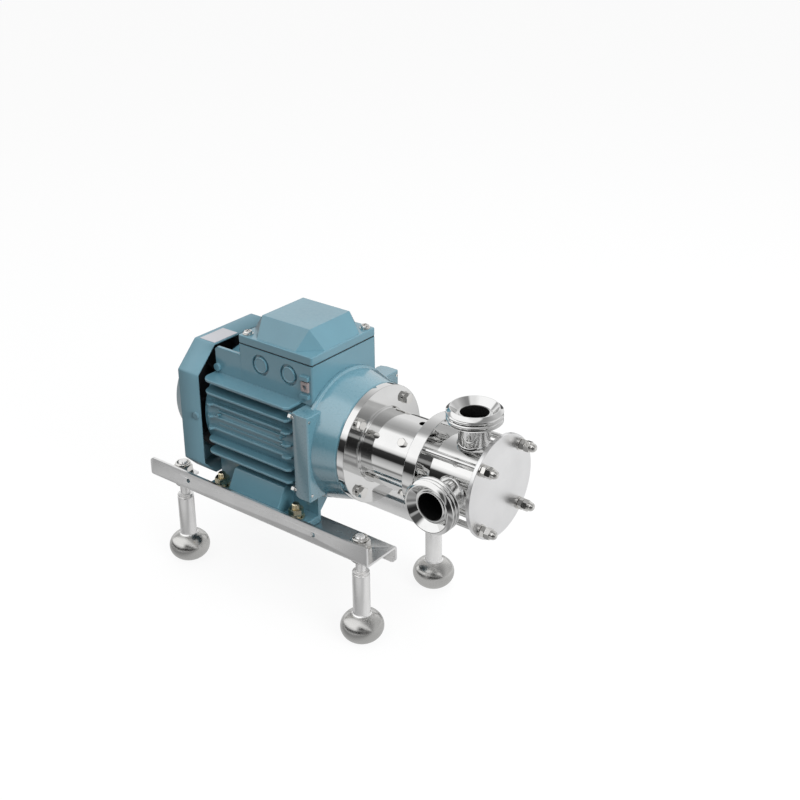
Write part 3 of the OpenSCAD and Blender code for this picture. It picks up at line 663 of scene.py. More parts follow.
@dataclass(frozen=True)
class Steel:
    """Bare metal, from mirror polish to a brushed sheet."""

    name: str
    colour: Point
    roughness: float
    spread: float = 0.05
    stretch: Point = (1, 1, 1)
    line_scale: float = 300.0
    line_depth: float = 0.0
    wave_depth: float = 0.0
    rings: float = 0.0
    metallic: float = 1.0

    def material(self) -> bpy.types.Material:
        """Builds the metal with its polishing lines, light waves and handling marks.

        Returns:
            The material.
        """
        s = Shader(self.name)
        s.set(Metallic=self.metallic)
        clouds = s.noise(30.0, 4.0)
        s.link(s.tones(clouds, [(0.35, tinted(self.colour, 0.96)), (0.65, tinted(self.colour, 1.03))]),
               s.bsdf.inputs["Base Color"])
        lines = s.noise(self.line_scale, 3.0, 0.6, self.stretch)
        s.link(s.spread(lines, self.roughness - self.spread / 2, self.roughness + self.spread / 2),
               s.bsdf.inputs["Roughness"])
        heights = []
        if self.line_depth:
            heights.append((lines, self.line_depth))
        if self.wave_depth:
            heights.append((s.noise(55.0, 2.0), self.wave_depth))
        if self.rings:
            heights.append((s.turned_lines(2200.0, SHAFT_Z), self.rings))
        if heights:
            s.bump(heights)
        return s.owner


@dataclass(frozen=True)
class Polymer:
    """Rubber, moulded plastic or lapped carbon."""

    name: str
    colour: Point
    roughness: float
    grain: float = 500.0
    depth: float = 40 * MICRON

    def material(self) -> bpy.types.Material:
        """Builds the moulded surface with a fine grain and an uneven sheen.

        Returns:
            The material.
        """
        s = Shader(self.name)
        s.set(Metallic=0.0, IOR=1.5)
        tones = [(0.3, tinted(self.colour, 0.85)), (0.7, tinted(self.colour, 1.2))]
        s.link(s.tones(s.noise(40.0, 3.0), tones), s.bsdf.inputs["Base Color"])
        s.link(s.spread(s.noise(self.grain / 2), self.roughness - 0.07, self.roughness + 0.07),
               s.bsdf.inputs["Roughness"])
        s.bump([(s.noise(self.grain, 3.0), self.depth)])
        return s.owner


FINISHES: dict[str, Paint | Steel | Polymer] = {finish.name: finish for finish in (
    Paint("motor_paint", (0.105, 0.235, 0.295)),
    # The shield paint is the motor paint made a little lighter: painted light on the shield. Its glossier
    # coat is the part's own finish.
    Paint("lightened_shield_paint", (0.115, 0.25, 0.31), roughness=0.28, grain_depth=0.5 * MICRON,
          coat_roughness=0.12, coat_ior=2.1),
    # The hood paint is the motor paint made lighter: painted light on the hood and its screws. Its rougher
    # coat is the part's own finish.
    Paint("hood_paint", (0.14, 0.26, 0.315), roughness=0.36, grain_depth=8 * MICRON, coat_roughness=0.25,
          coat_ior=1.4, sheen=0.25),
    Paint("primer", (0.30, 0.25, 0.245), roughness=0.5),
    Paint("plate_aluminium", (0.44, 0.44, 0.47), roughness=0.4, grain_depth=10 * MICRON),
    Steel("polished_stainless", (0.82, 0.82, 0.815), roughness=0.055, spread=0.03, line_scale=700.0,
          wave_depth=20 * MICRON, rings=1 * MICRON),
    Steel("bright_stainless", (0.80, 0.79, 0.77), roughness=0.08, spread=0.04, line_scale=900.0,
          line_depth=1 * MICRON, wave_depth=10 * MICRON),
    Steel("cover_stainless", (0.94, 0.94, 0.945), roughness=0.30, line_scale=1500.0, line_depth=1 * MICRON),
    Steel("rail_steel", (0.96, 0.96, 0.96), roughness=0.30, spread=0.06, stretch=(0.06, 1, 1),
          line_scale=1400.0, line_depth=3 * MICRON, wave_depth=10 * MICRON),
    Steel("satin_steel", (0.97, 0.965, 0.96), roughness=0.17, spread=0.06, stretch=(1, 1, 0.12),
          line_scale=900.0, line_depth=1 * MICRON, metallic=0.72),
    # Darker, rougher steel for the rounded bases of the feet: a brushed finish, made darker as painted
    # shade.
    Steel("brushed_steel", (0.66, 0.655, 0.64), roughness=0.24, spread=0.14, stretch=(0.15, 0.15, 1),
          line_scale=700.0, line_depth=4 * MICRON),
    # Near-black steel for the insides of bores and of the pump chamber: painted shade, not the colour of
    # the metal.
    Steel("bore_steel", (0.10, 0.10, 0.10), roughness=0.5, spread=0.1, line_scale=900.0,
          line_depth=2 * MICRON),
    Steel("zinc_plate", (0.80, 0.72, 0.52), roughness=0.22, spread=0.12, line_scale=600.0,
          line_depth=4 * MICRON, wave_depth=20 * MICRON),
    Steel("shaft_steel", (0.55, 0.55, 0.56), roughness=0.28, spread=0.08, stretch=(0.1, 1, 1),
          line_scale=900.0, line_depth=3 * MICRON),
    Steel("core_iron", (0.24, 0.24, 0.25), roughness=0.5, spread=0.1, stretch=(12, 0.4, 0.4),
          line_scale=120.0, line_depth=20 * MICRON),
    Steel("winding_copper", (0.60, 0.30, 0.15), roughness=0.35, spread=0.1, stretch=(8, 1, 1),
          line_scale=200.0, line_depth=40 * MICRON),
    Steel("bearing_steel", (0.70, 0.70, 0.72), roughness=0.18, line_scale=700.0, line_depth=1 * MICRON),
    Steel("terminal_brass", (0.80, 0.62, 0.30), roughness=0.25, spread=0.08, line_scale=700.0,
          line_depth=2 * MICRON),
    Polymer("black_plastic", (0.022, 0.022, 0.024), roughness=0.5),
    Polymer("black_rubber", (0.030, 0.036, 0.038), roughness=0.62),
    Polymer("board_plastic", (0.13, 0.055, 0.025), roughness=0.35),
    Polymer("seal_carbon", (0.035, 0.035, 0.038), roughness=0.3),
    Polymer("impeller_rubber", (0.006, 0.006, 0.006), roughness=0.9),
)}


class Workshop:
    """Makes the materials once and turns forms into finished pieces of the scene."""

    def __init__(self) -> None:
        """Builds every finish of the object."""
        self.materials = {slot: finish.material() for slot, finish in FINISHES.items()}
        self.made: list[str] = []

    def piece(self, name: str, form: Form, slot: str, replaces: tuple[str, ...] = (),
              body: str = BASE_BODY, finish: str = "",
              inner: Callable[[Vector], bool] | None = None,
              inner_finish: str = "bore_steel") -> bpy.types.Object:
        """Places a form in the frame as a finished piece.

        Args:
            name: Name of the piece.
            form: The modelled form, in millimetres.
            slot: Material slot that gives the finish.
            replaces: CAD nodes that the piece stands for.
            body: Body that the piece rides on.
            finish: Finish to wear where it differs from the one of the slot.
            inner: Test for the middles of the faces that wear a second finish.
            inner_finish: The second finish. The default near-black steel paints shade inside bores.

        Returns:
            The finished object.
        """
        for face in form.bm.faces:
            face.material_index = int(inner is not None and inner(face.calc_center_median()))
        form.moved(TO_FRAME)
        for face in form.bm.faces:
            face.smooth = True
        for edge in form.bm.edges:
            edge.smooth = len(edge.link_faces) != 2 or edge.calc_face_angle(0.0) < CREASE
        mesh = bpy.data.meshes.new(name)
        form.bm.to_mesh(mesh)
        form.bm.free()
        mesh.materials.append(self.materials[finish or slot])
        if inner:
            mesh.materials.append(self.materials[inner_finish])
        obj = bpy.data.objects.new(name, mesh)
        bpy.context.scene.collection.objects.link(obj)
        weights = obj.modifiers.new("face_weights", "WEIGHTED_NORMAL")
        weights.keep_sharp = True
        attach(obj, body)
        if replaces:
            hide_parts(*replaces)
        self.made.append(name)
        LOG.info("piece %s on %s, %d faces", name, body, len(mesh.polygons))
        return obj

    def polish(self, node: str, slot: str, bevel: float = 0.0) -> None:
        """Gives a carried-over CAD node its finish, whole faces and, if wanted, broken edges.

        Args:
            node: Name of the node.
            slot: Material slot that gives the finish.
            bevel: Width of the broken edges in millimetres, 0 for none.
        """
        obj = frame["nodes"][node]
        obj.data.materials.clear()
        obj.data.materials.append(self.materials[slot])
        obj.data.polygons.foreach_set("use_smooth", [True] * len(obj.data.polygons))
        weld = obj.modifiers.new("weld", "WELD")
        weld.merge_threshold = 0.01 * MM
        if bevel:
            rounding = obj.modifiers.new("rounding", "BEVEL")
            rounding.width = bevel * MM
            rounding.segments = 2
            rounding.limit_method = "ANGLE"
            rounding.angle_limit = math.radians(40)
            rounding.use_clamp_overlap = True
        split = obj.modifiers.new("split", "EDGE_SPLIT")
        split.split_angle = CREASE
        LOG.info("node %s keeps its shape", node)


@dataclass
class Rails:
    """The two folded rails that carry the motor."""

    edge: float = 0.3

    def dress(self, shop: Workshop) -> None:
        """Finishes both rails."""
        for node in ("near_rail", "far_rail"):
            shop.polish(node, "rail_steel", self.edge)


@dataclass
class AdjustableFeet:
    """Four feet that screw up and down on studs held in the rails."""

    front_x: float = 25.6
    rear_x: float = -213.4
    side_y: float = 57.4
    ball_r: float = 21.3
    ball_h: float = 16.5
    ball_z: float = -166.3
    sleeve_r: float = 8.5
    sleeve_top: float = -104.0
    bore_depth: float = 30.0
    stud_r: float = 5.0
    stud_low: float = -138.0
    stud_pitch: float = 1.5
    nut_flats: float = 17.0
    web_top: float = RAIL_TOP

    def places(self) -> dict[str, tuple[float, float]]:
        """Place of each foot by the name of its node.

        Returns:
            Place along the shaft and across it, by node.
        """
        return {
            "foot_front_near": (self.front_x, -self.side_y),
            "foot_front_far": (self.front_x, self.side_y),
            "foot_rear_near": (self.rear_x, -self.side_y),
            "foot_rear_far": (self.rear_x, self.side_y),
        }

    def foot(self) -> Form:
        """One foot on the Z axis: rounded base, sleeve, groove and collar.

        Returns:
            The foot.
        """
        low = math.degrees(math.asin((FLOOR_MM - self.ball_z) / self.ball_h))
        high = math.degrees(math.acos((self.sleeve_r + 1.4) / self.ball_r))
        steps = 30
        angles = [math.radians(low + (high - low) * i / steps) for i in range(steps + 1)]
        ball = [(self.ball_z + self.ball_h * math.sin(a), self.ball_r * math.cos(a)) for a in angles]
        top, r = self.sleeve_top, self.sleeve_r
        neck = ball[-1][0]
        inner = self.stud_r + 0.1
        fillet = [(neck + 0.9, r + 0.35), (neck + 2.4, r)]
        groove = [(top - 4.2, r), (top - 3.7, r - 0.3), (top - 3.6, r - 1.6), (top - 1.9, r - 1.6)]
        collar = [(top - 1.8, r - 0.4), (top - 1.3, r - 0.1), (top - 0.9, r - 0.3), (top, inner + 1.2)]
        bore = [(top, inner), (top - self.bore_depth, inner), (top - self.bore_depth, 0.0)]
        return Form.turned([(FLOOR_MM, 0.0), *ball, *fillet, *groove, *collar, *bore], Axis.Z, steps=96)

    def on_ball(self, place: Vector) -> bool:
        """Whether a point of a foot is on its rounded base."""
        return place.z < self.ball_z + self.ball_h - 2

    def stud(self) -> Form:
        """Threaded stud with its turns of thread above the rail.

        Returns:
            The stud.
        """
        top, low, r = self.web_top + 14, self.stud_low, self.stud_r
        first = self.web_top + 8
        half = self.stud_pitch / 2
        turns = [(first + half * i, r - (0.35 if i % 2 else 0.0))
                 for i in range(int((top - 0.8 - first) / half) + 1)]
        profile = [(low, 0.0), (low, r - 0.6), (low + 0.8, r), *turns, (top, r - 0.9), (top, 0.0)]
        return Form.turned(profile, Axis.Z, steps=56)

    def top_nut(self) -> Form:
        """Nut over the rail: a hexagon with a round collar above.

        Returns:
            The nut with its collar.
        """
        z = self.web_top + 2
        hexagon = Form.nut(z, z + 8, self.nut_flats).moved(UPRIGHT).moved(turn(12, Axis.Z))
        inner = self.stud_r + 0.1
        outside = [(z + 7.2, inner), (z + 7.2, 6.9), (z + 8.2, 6.9), (z + 8.5, 7.7), (z + 10.0, 7.7)]
        end = [(z + 10.5, 7.3), (z + 10.5, 6.2), (z + 9.2, inner + 0.5), (z + 8.4, inner)]
        return hexagon.join(Form.turned([*outside, *end], Axis.Z, steps=56))

    def lock_nut(self) -> Form:
        """Plain nut under the rail."""
        z = self.web_top - 4.5
        return Form.nut(z - 8, z, self.nut_flats, True).moved(UPRIGHT).moved(turn(20, Axis.Z))

    def dress(self, shop: Workshop) -> None:
        """Builds the feet and what holds them.

        Args:
            shop: Workshop that makes the pieces.
        """
        spots = [shift(x, y) for x, y in self.places().values()]
        for node, (x, y) in self.places().items():
            # The rounded base wears the darker brushed steel: its own finish, darkened as painted shade.
            shop.piece(node + "_turned", self.foot().moved(shift(x, y)), "satin_steel", (node,),
                       node + "_body", inner=self.on_ball, inner_finish="brushed_steel")
        shop.piece("foot_stud_set", self.stud().repeated(spots), "satin_steel", ("foot_studs",))
        shop.piece("foot_nut_set", self.top_nut().repeated(spots), "bright_stainless", ("foot_nuts",))
        shop.piece("foot_lock_nut_set", self.lock_nut().repeated(spots), "bright_stainless",
                   ("foot_lock_nuts",))
        shop.polish("foot_washers", "bright_stainless")


@dataclass
class MotorFixings:
    """Bolts, nuts and washers that hold the motor feet to the rails."""

    places: tuple[float, float] = BOLT_PLACES
    side_y: float = BOLT_SIDE
    web_top: float = RAIL_TOP
    bolt_r: float = 4.0
    pitch: float = 1.25
    nut_flats: float = 13.0
    foot_top: float = PAD_HEIGHT
    flat_t: float = 1.7
    spring_t: float = 2.0

    def bolt(self) -> Form:
        """Hexagon bolt from below, with its turns of thread above the nut.

        Returns:
            The bolt, upright at the origin.
        """
        z, r = self.web_top, self.bolt_r
        thread = [(z + 18 + self.pitch / 2 * i, r - (0.3 if i % 2 else 0.0)) for i in range(9)]
        shank = Form.turned([(z - 3, 0), (z - 3, r), *thread, (z + 24, 3.2), (z + 24, 0)], Axis.Z, steps=40)
        head = Form.nut(-(z - 2.5), -(z - 7.9), self.nut_flats).moved(turn(90, Axis.Y))
        return shank.join(head.moved(turn(8, Axis.Z)))

    def washers(self) -> Form:
        """Flat washer and split spring washer on the foot.

        Returns:
            Both washers, at the origin.
        """
        low = self.web_top + self.foot_top
        middle = low + self.flat_t
        high = middle + self.spring_t
        flat = Form.ring(low, middle, 4.2, 8.5, Axis.Z, steps=56).soften(0.3, 2)
        spring = Form.ring(middle, high, 4.2, 6.8, Axis.Z, steps=56)
        spring.cut(Form.block((3, -0.5, low + 1), (8, 0.5, high + 0.3)))
        return flat.join(spring.soften(0.3, 2, 50))

    def dress(self, shop: Workshop) -> None:
        """Builds the fixings at the four bolt holes.

        Args:
            shop: Workshop that makes the pieces.
        """
        spots = [shift(x, y) for x in self.places for y in (-self.side_y, self.side_y)]
        shop.piece("motor_bolt_set", self.bolt().repeated(spots), "zinc_plate", ("motor_foot_bolts",))
        z = self.web_top
        nut = Form.nut(z + 12.7, z + 19.3, self.nut_flats, True).moved(UPRIGHT).moved(turn(24, Axis.Z))
        shop.piece("motor_nut_set", nut.repeated(spots), "zinc_plate", ("motor_foot_nuts",))
        shop.piece("motor_washer_set", self.washers().repeated(spots), "zinc_plate",
                   ("motor_foot_washers",))


@dataclass
class StatorHousing:
    """Finned casting round the stator, with the terminal box on top."""

    tube_r: float = 60.0
    rear: float = -167.0
    front: float = -47.0
    fin_half: float = 66.0
    fin_pitch: float = 13.1
    top_fin: float = 43.5
    fin_count: int = 7
    fin_t: float = 2.8
    fin_below: float = 1.5
    top_fin_t: float = 3.2
    fin_root: float = 38.0
    fin_front: float = -53.0
    fin_corner: float = 10.0
    cut_back_fins: tuple[int, ...] = (2, 3, 4)
    recess: float = 3.6
    recess_rear: float = -158.0
    recess_front: float = -63.0
    box_rear: float = BOX_REAR
    box_front: float = BOX_FRONT
    box_side: float = BOX_SIDE
    box_top: float = 84.0
    plug_places: tuple[float, float] = (-103.4, -67.2)
    plug_z: float = 68.4

    def fin(self, index: int) -> Form:
        """One side fin on the far side.

        Args:
            index: 0 for the top fin, counted downward.

        Returns:
            The fin with rounded edges.
        """
        half, root, front = self.fin_half, self.fin_root, self.fin_front
        z = self.top_fin - self.fin_below - self.fin_pitch * index
        tip = arc(self.rear + self.fin_corner, half - self.fin_corner, self.fin_corner, 180, 90, 10)
        rim = []
        if index in self.cut_back_fins:
            inner, low, high = half - self.recess, self.recess_rear, self.recess_front
            tip = [p for p in tip if p[0] < low - 0.4]
            rim = [(low, inner + 1.6), (low + 1.6, inner),
                   (high - 1.6, inner), (high, inner + 1.6), (high, half)]
        outline = [(self.rear, root), *tip, *rim, (front - 4, half), (front, half - 4), (front, root)]
        thick = self.fin_t if index else self.top_fin_t
        return Form.prism(outline, Axis.Z, z, z + thick).soften(1.0, 3, 40)

    def side_wall_details(self) -> Form:
        """Ridges, pins, wing, boss and ledges on the far side.

        Returns:
            The details as one form.
        """
        inner = self.fin_half - self.recess
        middle = self.top_fin - 3 * self.fin_pitch
        parts = Form()
        for step in (-0.5, 0.5):
            z = middle + step * self.fin_pitch
            parts.join(Form.block((-152, 40, z - 0.8), (-62, inner - 1.4, z + 0.8)).soften(0.5, 2))
        for x, step in ((-150, 0.25), (-67, -0.2), (-67, 0.35)):
            centre = (x, 0, middle + step * self.fin_pitch)
            parts.join(Form.rod(40, inner + 0.6, 1.6, Axis.Y, centre, 24).soften(0.5, 2))
        wing = Form.prism([(-165, 44), (-165, 70), (-162, 72.5), (-130, 72.5), (-130, 44)], Axis.Y,
                          self.box_side - 4, self.box_side)
        parts.join(wing.soften(0.8, 2))
        boss = Form.rod(self.box_side - 2, self.box_side + 2.4, 4.2, Axis.Y, (-162, 0, 51), 32)
        parts.join(boss.soften(0.7, 2))
        for z in (50.5, 69.0):
            ledge = Form.block((self.box_front - 14.5, self.box_side - 1, z),
                               (self.box_front - 3.5, self.box_side + 3.4, z + 4.6))
            parts.join(ledge.soften(0.8, 2))
        return parts

    def box(self) -> Form:
        """Walls of the terminal box, with the cable entries sunk in.

        Returns:
            The walls.
        """
        low = (self.box_rear, -self.box_side, 44)
        high = (self.box_front, self.box_side, self.box_top)
        walls = Form.block(low, high)
        walls.soften(2.0, 4, 28, lambda e: abs((e.verts[0].co - e.verts[1].co).z) > 30)
        walls.cut(Form.block((low[0] + 4, low[1] + 4, 64), (high[0] - 4, high[1] - 4, self.box_top + 1)))
        for side in BOTH_SIDES:
            for x in self.plug_places:
                reach = sorted((side * (self.box_side - 2.5), side * (self.box_side + 2)))
                walls.cut(Form.rod(reach[0], reach[1], 10.6, Axis.Y, (x, 0, self.plug_z), 64))
        return walls.soften(0.6, 2, 50)

    def earth_pad(self) -> Form:
        """Bare pad with a screw hole on the far side of the box.

        Returns:
            The pad.
        """
        x = self.box_front - 8.5
        y = self.box_side
        pad = Form.block((x - 4.5, y - 1, 57.5), (x + 4.5, y + 2.5, 67.5)).soften(0.5, 2)
        return pad.cut(Form.rod(y - 0.6, y + 4, 2.6, Axis.Y, (x, 0, 62.2), 32))

    def plug(self, x: float) -> Form:
        """Blanking plug of one cable entry on the far side.

        Args:
            x: Place of the cable entry along the shaft.

        Returns:
            The plug.
        """
        y = self.box_side
        flange = [(y - 2.5, 0), (y - 2.5, 10.5), (y - 2.3, 10.5), (y - 2.3, 8.2)]
        cap = [(y + 0.1, 8.1), (y + 0.6, 7.6), (y + 0.6, 6.8), (y + 0.2, 6.4), (y + 0.2, 0)]
        return Form.turned(flange + cap, Axis.Y, (x, 0, self.plug_z), 72)

    def dress(self, shop: Workshop) -> None:
        """Builds the casting and its small parts.

        Args:
            shop: Workshop that makes the pieces.
        """
        tube = Form.ring(self.rear, self.front, self.tube_r - 2.4, self.tube_r, steps=128)
        fins = [self.fin(i) for i in range(self.fin_count)]
        sides = Form().join(*fins, self.side_wall_details()).both_sides()
        shop.piece("housing_casting", tube.join(sides, self.box()), "motor_paint", ("motor_housing",))
        shop.piece("earth_pads", self.earth_pad().both_sides(), "motor_paint", finish="primer")
        plugs = Form().join(*[self.plug(x) for x in self.plug_places]).both_sides()
        shop.piece("entry_plugs", plugs, "motor_paint", ("cable_entry_plugs",))
        shop.polish("box_gasket", "black_rubber")


@dataclass
class MotorFeet:
    """The cast feet under the stator housing."""

    rear: float = -166.0
    front: float = -34.0
    top: float = RAIL_TOP
    reach: float = 74.2
    corner: float = 11.0
    pad_t: float = PAD_HEIGHT
    bolt_places: tuple[float, float] = BOLT_PLACES
    bolt_y: float = BOLT_SIDE
    bolt_hole_r: float = 5.0
    web_in: float = 44.5
    web_out: float = 48.0
    gusset_in: float = 34.0

    def gusset(self, radius: float, place: float) -> Form:
        """Corner plate inside the web, with its top edge round the housing.

        Args:
            radius: Radius of the round edge.
            place: Rear face of the plate.

        Returns:
            The plate of the far side.
        """
        out = self.web_out - 0.2
        start = -math.degrees(math.acos(out / radius))
        end = -math.degrees(math.acos(self.gusset_in / radius))
        round_edge = arc(0, 0, radius, start, end, 6)
        plate = Form.prism([(out, self.top + 8.8), *round_edge], Axis.X, place, place + 5)
        return plate.soften(0.5, 2, 40)

    def far_foot(self) -> Form:
        """The foot of the far side: pad, upright web, sloping panel and gussets.

        Returns:
            The foot.
        """
        z, c = self.top, self.corner
        side = self.reach - c
        rounded = [*arc(self.front - c, side, c, 0, 90), *arc(self.rear + c, side, c, 90, 180)]
        outline = [(self.rear, self.web_in), (self.front, self.web_in), *rounded]
        pad = Form.prism(outline, Axis.Z, z, z + self.pad_t).soften(1.4, 3, 40)
        for x in self.bolt_places:
            pad.cut(Form.rod(z - 1, z + self.pad_t + 3, self.bolt_hole_r, Axis.Z, (x, self.bolt_y, 0)))
        inside = self.web_in + 0.2
        back = Form.block((self.rear + 0.3, inside, z + 1), (self.front - 13.4, self.web_out, -37))
        front = Form.block((self.front - 14, inside, z + 1), (self.front - 0.3, self.web_out, -47.6))
        section = [(46, z + 1), (71.6, z + 8), (70.6, z + 16), (60.6, -45.5), (46, -45.5)]
        panel = Form.prism(section, Axis.X, -133, -66).soften(1.2, 3, 30)
        gussets = [self.gusset(66.8, self.front - 5.5), self.gusset(60.2, self.rear + 0.5)]
        return pad.join(panel, back, front, *gussets)

    def dress(self, shop: Workshop) -> None:
        """Builds both feet."""
        shop.piece("foot_castings", self.far_foot().both_sides(), "motor_paint", ("motor_feet",))


@dataclass
class FrontShield:
    """Front end shield: collar, cone and the plate with the screw lugs."""

    bore_r: float = 40.0
    lug_low: float = -45.4
    lug_high: float = 43.4
    lug_reach: float = 67.7
    screw_y: float = 64.8
    screw_low: float = -38.6
    screw_high: float = 38.4

    def cone(self) -> Form:
        """Round part from the housing to the flange face.

        Returns:
            The turned part.
        """
        spigot = [(-53, self.bore_r), (-53, 59.9), (-47, 60)]
        collar = [(-47, 63), (-37.2, 63), (-37.2, 66.5), (-33.6, 66.5), (-32.8, 64.6), (-26, 64.6)]
        nose = [(-2, 58.6), (0, 56.6), (0, self.bore_r)]
        return Form.turned(spigot + collar + nose, steps=128).soften(0.6, 3, 20)

    def lugs(self) -> Form:
        """Plate behind the cone with chamfered sides.

        Returns:
            The plate.
        """
        r = self.lug_reach
        near_edge = [(-47, -r + 2.3), (-39.6, -r), (-27, -r), (-26, -r + 1)]
        outline = near_edge + [(x, -y) for x, y in reversed(near_edge)]
        plate = Form.prism(outline, Axis.Z, self.lug_low, self.lug_high).soften(1.0, 3, 20)
        return plate.cut(Form.rod(-60, -10, 60.5, steps=128))

    def screws(self) -> Form:
        """The four long screws, with heads behind the lugs and ends flush in front.

        Returns:
            The screws as one form.
        """
        head = Form.nut(47, 50.6, 5.5).moved(turn(180, Axis.Z))
        screw = head.join(Form.rod(-48, -25.4, 1.6, steps=24).soften(0.3, 2))
        places = [shift(0, y, z) for y in (-self.screw_y, self.screw_y)
                  for z in (self.screw_low, self.screw_high)]
        return screw.repeated(places)

    def dress(self, shop: Workshop) -> None:
        """Builds the shield and its screws.

        Args:
            shop: Workshop that makes the pieces.
        """
        # The shield wears the lighter copy of the motor paint: painted light.
        shop.piece("front_shield_casting", self.cone().join(self.lugs()), "motor_paint",
                   ("front_end_shield",), finish="lightened_shield_paint")
        shop.piece("shield_screw_set", self.screws(), "bright_stainless", ("end_shield_screws",))


@dataclass
class FanHood:
    """Pressed fan cover: eight flat sides, a raised round grille behind them and ring shaped air slots."""

    front: float = -172.0
    rim: float = -200.3
    face: float = -222.3
    face_r: float = 52.0
    sheet: float = 1.5
    top: float = 70.5
    bottom: float = -69.0
    side: float = 65.3
    facets: int = 180
    slot_rings: tuple[float, ...] = (10, 14, 18, 22, 26, 30, 34, 38, 42, 46)
    web_half: float = 1.9
    plate_low: tuple[float, float] = (-194.5, -38.0)
    plate_high: tuple[float, float] = (-173.5, -6.0)
    plate_t: float = 0.4

    def corners(self) -> Outline:
        """Corner points of the eight-sided section, counted round from the top."""
        right = [(40.1, self.top), (self.side, 45.1), (self.side, -53.4), (50.0, self.bottom)]
        return right + [(-y, z) for y, z in reversed(right)]

    def reach(self, angle: float) -> float:
        """Distance from the axis to the section's edge at an angle from the Y axis.

        Args:
            angle: The angle in radians.

        Returns:
            The distance in millimetres.
        """
        points = self.corners()
        best = math.inf
        for (y0, z0), (y1, z1) in zip(points, points[1:] + points[:1]):
            normal = (z1 - z0, y0 - y1)
            along = math.cos(angle) * normal[0] + math.sin(angle) * normal[1]
            offset = y0 * normal[0] + z0 * normal[1]
            if along * offset > 0:
                best = min(best, offset / along)
        return best

    def angles(self) -> list[float]:
        """Even angles round the section, with the corners among them.

        Returns:
            The angles in radians.
        """
        angles = [math.tau * i / self.facets for i in range(self.facets)]
        for y, z in self.corners():
            corner = math.atan2(z, y) % math.tau
            nearest = min(range(self.facets), key=lambda i: abs(angles[i] - corner))
            angles[nearest] = corner
        return angles

    def shell(self) -> Form:
        """The pressed sheet as an open surface.

        Returns:
            The open surface, without its thickness.
        """
        form = Form()
        angles = self.angles()
        edge = [self.reach(a) for a in angles]

        def ring(radii: list[float], place: float) -> list[bmesh.types.BMVert]:
            """Ring of vertices at a place along the shaft."""
            return [form.bm.verts.new((place, radius * math.cos(a), radius * math.sin(a)))
                    for radius, a in zip(radii, angles)]

        r, x = self.face_r, self.face
        turned = [(r + 12, self.rim), (r + 1.4, x + 3), (r - 0.6, x + 0.8), (r - 3, x)]
        turned += [(radius, x) for radius in reversed(self.slot_rings)]
        rings = [ring(edge, self.front), ring(edge, self.rim)]
        rings += [ring([radius] * len(angles), place) for radius, place in turned]
        centre = form.bm.verts.new((x, 0, 0))
        count = len(angles)
        webs = [math.radians(a) for a in range(0, 360, 45)]
        inner_radii = [0.0] * 6 + [*reversed(self.slot_rings[:-1])]
        for level, (one, two, radius) in enumerate(zip(rings, rings[1:], inner_radii)):
            for i in range(count):
                j = (i + 1) % count
                if level % 2 == 0 and radius:
                    middle = (angles[i] + (angles[j] if j else math.tau)) / 2
                    gap = min(abs((middle - w + math.pi) % math.tau - math.pi) for w in webs)
                    if gap * (radius + 2) > self.web_half:
                        continue
                form.bm.faces.new((one[i], one[j], two[j], two[i]))
        for i in range(count):
            form.bm.faces.new((rings[-1][i], rings[-1][(i + 1) % count], centre))
        form.outward()
        outside = r + 12.5
        return form.soften(1.2, 3, 20, lambda e: all(math.hypot(v.co.y, v.co.z) > outside for v in e.verts))

    def screw(self) -> Form:
        """Pan head screw on the far side.

        Returns:
            The screw.
        """
        y = self.side
        profile = [(y - 4, 0), (y - 4, 2), (y, 2), (y, 4), (y + 1.1, 4), (y + 1.8, 3.1), (y + 1.8, 0)]
        return Form.turned(profile, Axis.Y, (self.front - 6, 0, 0), 48)

    def dress(self, shop: Workshop) -> None:
        """Builds the cover, its screws and the blank plate.

        Args:
            shop: Workshop that makes the pieces.
        """
        # The hood wears the lighter copy of the motor paint: painted light.
        obj = shop.piece("hood_pressing", self.shell(), "hood_paint", ("fan_cover",))
        wall = obj.modifiers.new("sheet", "SOLIDIFY")
        wall.thickness = self.sheet * MM
        wall.offset = -1.0
        shop.piece("hood_screw_set", self.screw().both_sides(), "hood_paint", ("fan_cover_screws",))
        low, high = self.plate_low, self.plate_high
        plate = Form.block((*low, self.top), (*high, self.top + self.plate_t)).soften(0.15, 2)
        shop.piece("blank_plate", plate, "plate_aluminium", ("rating_plate",))


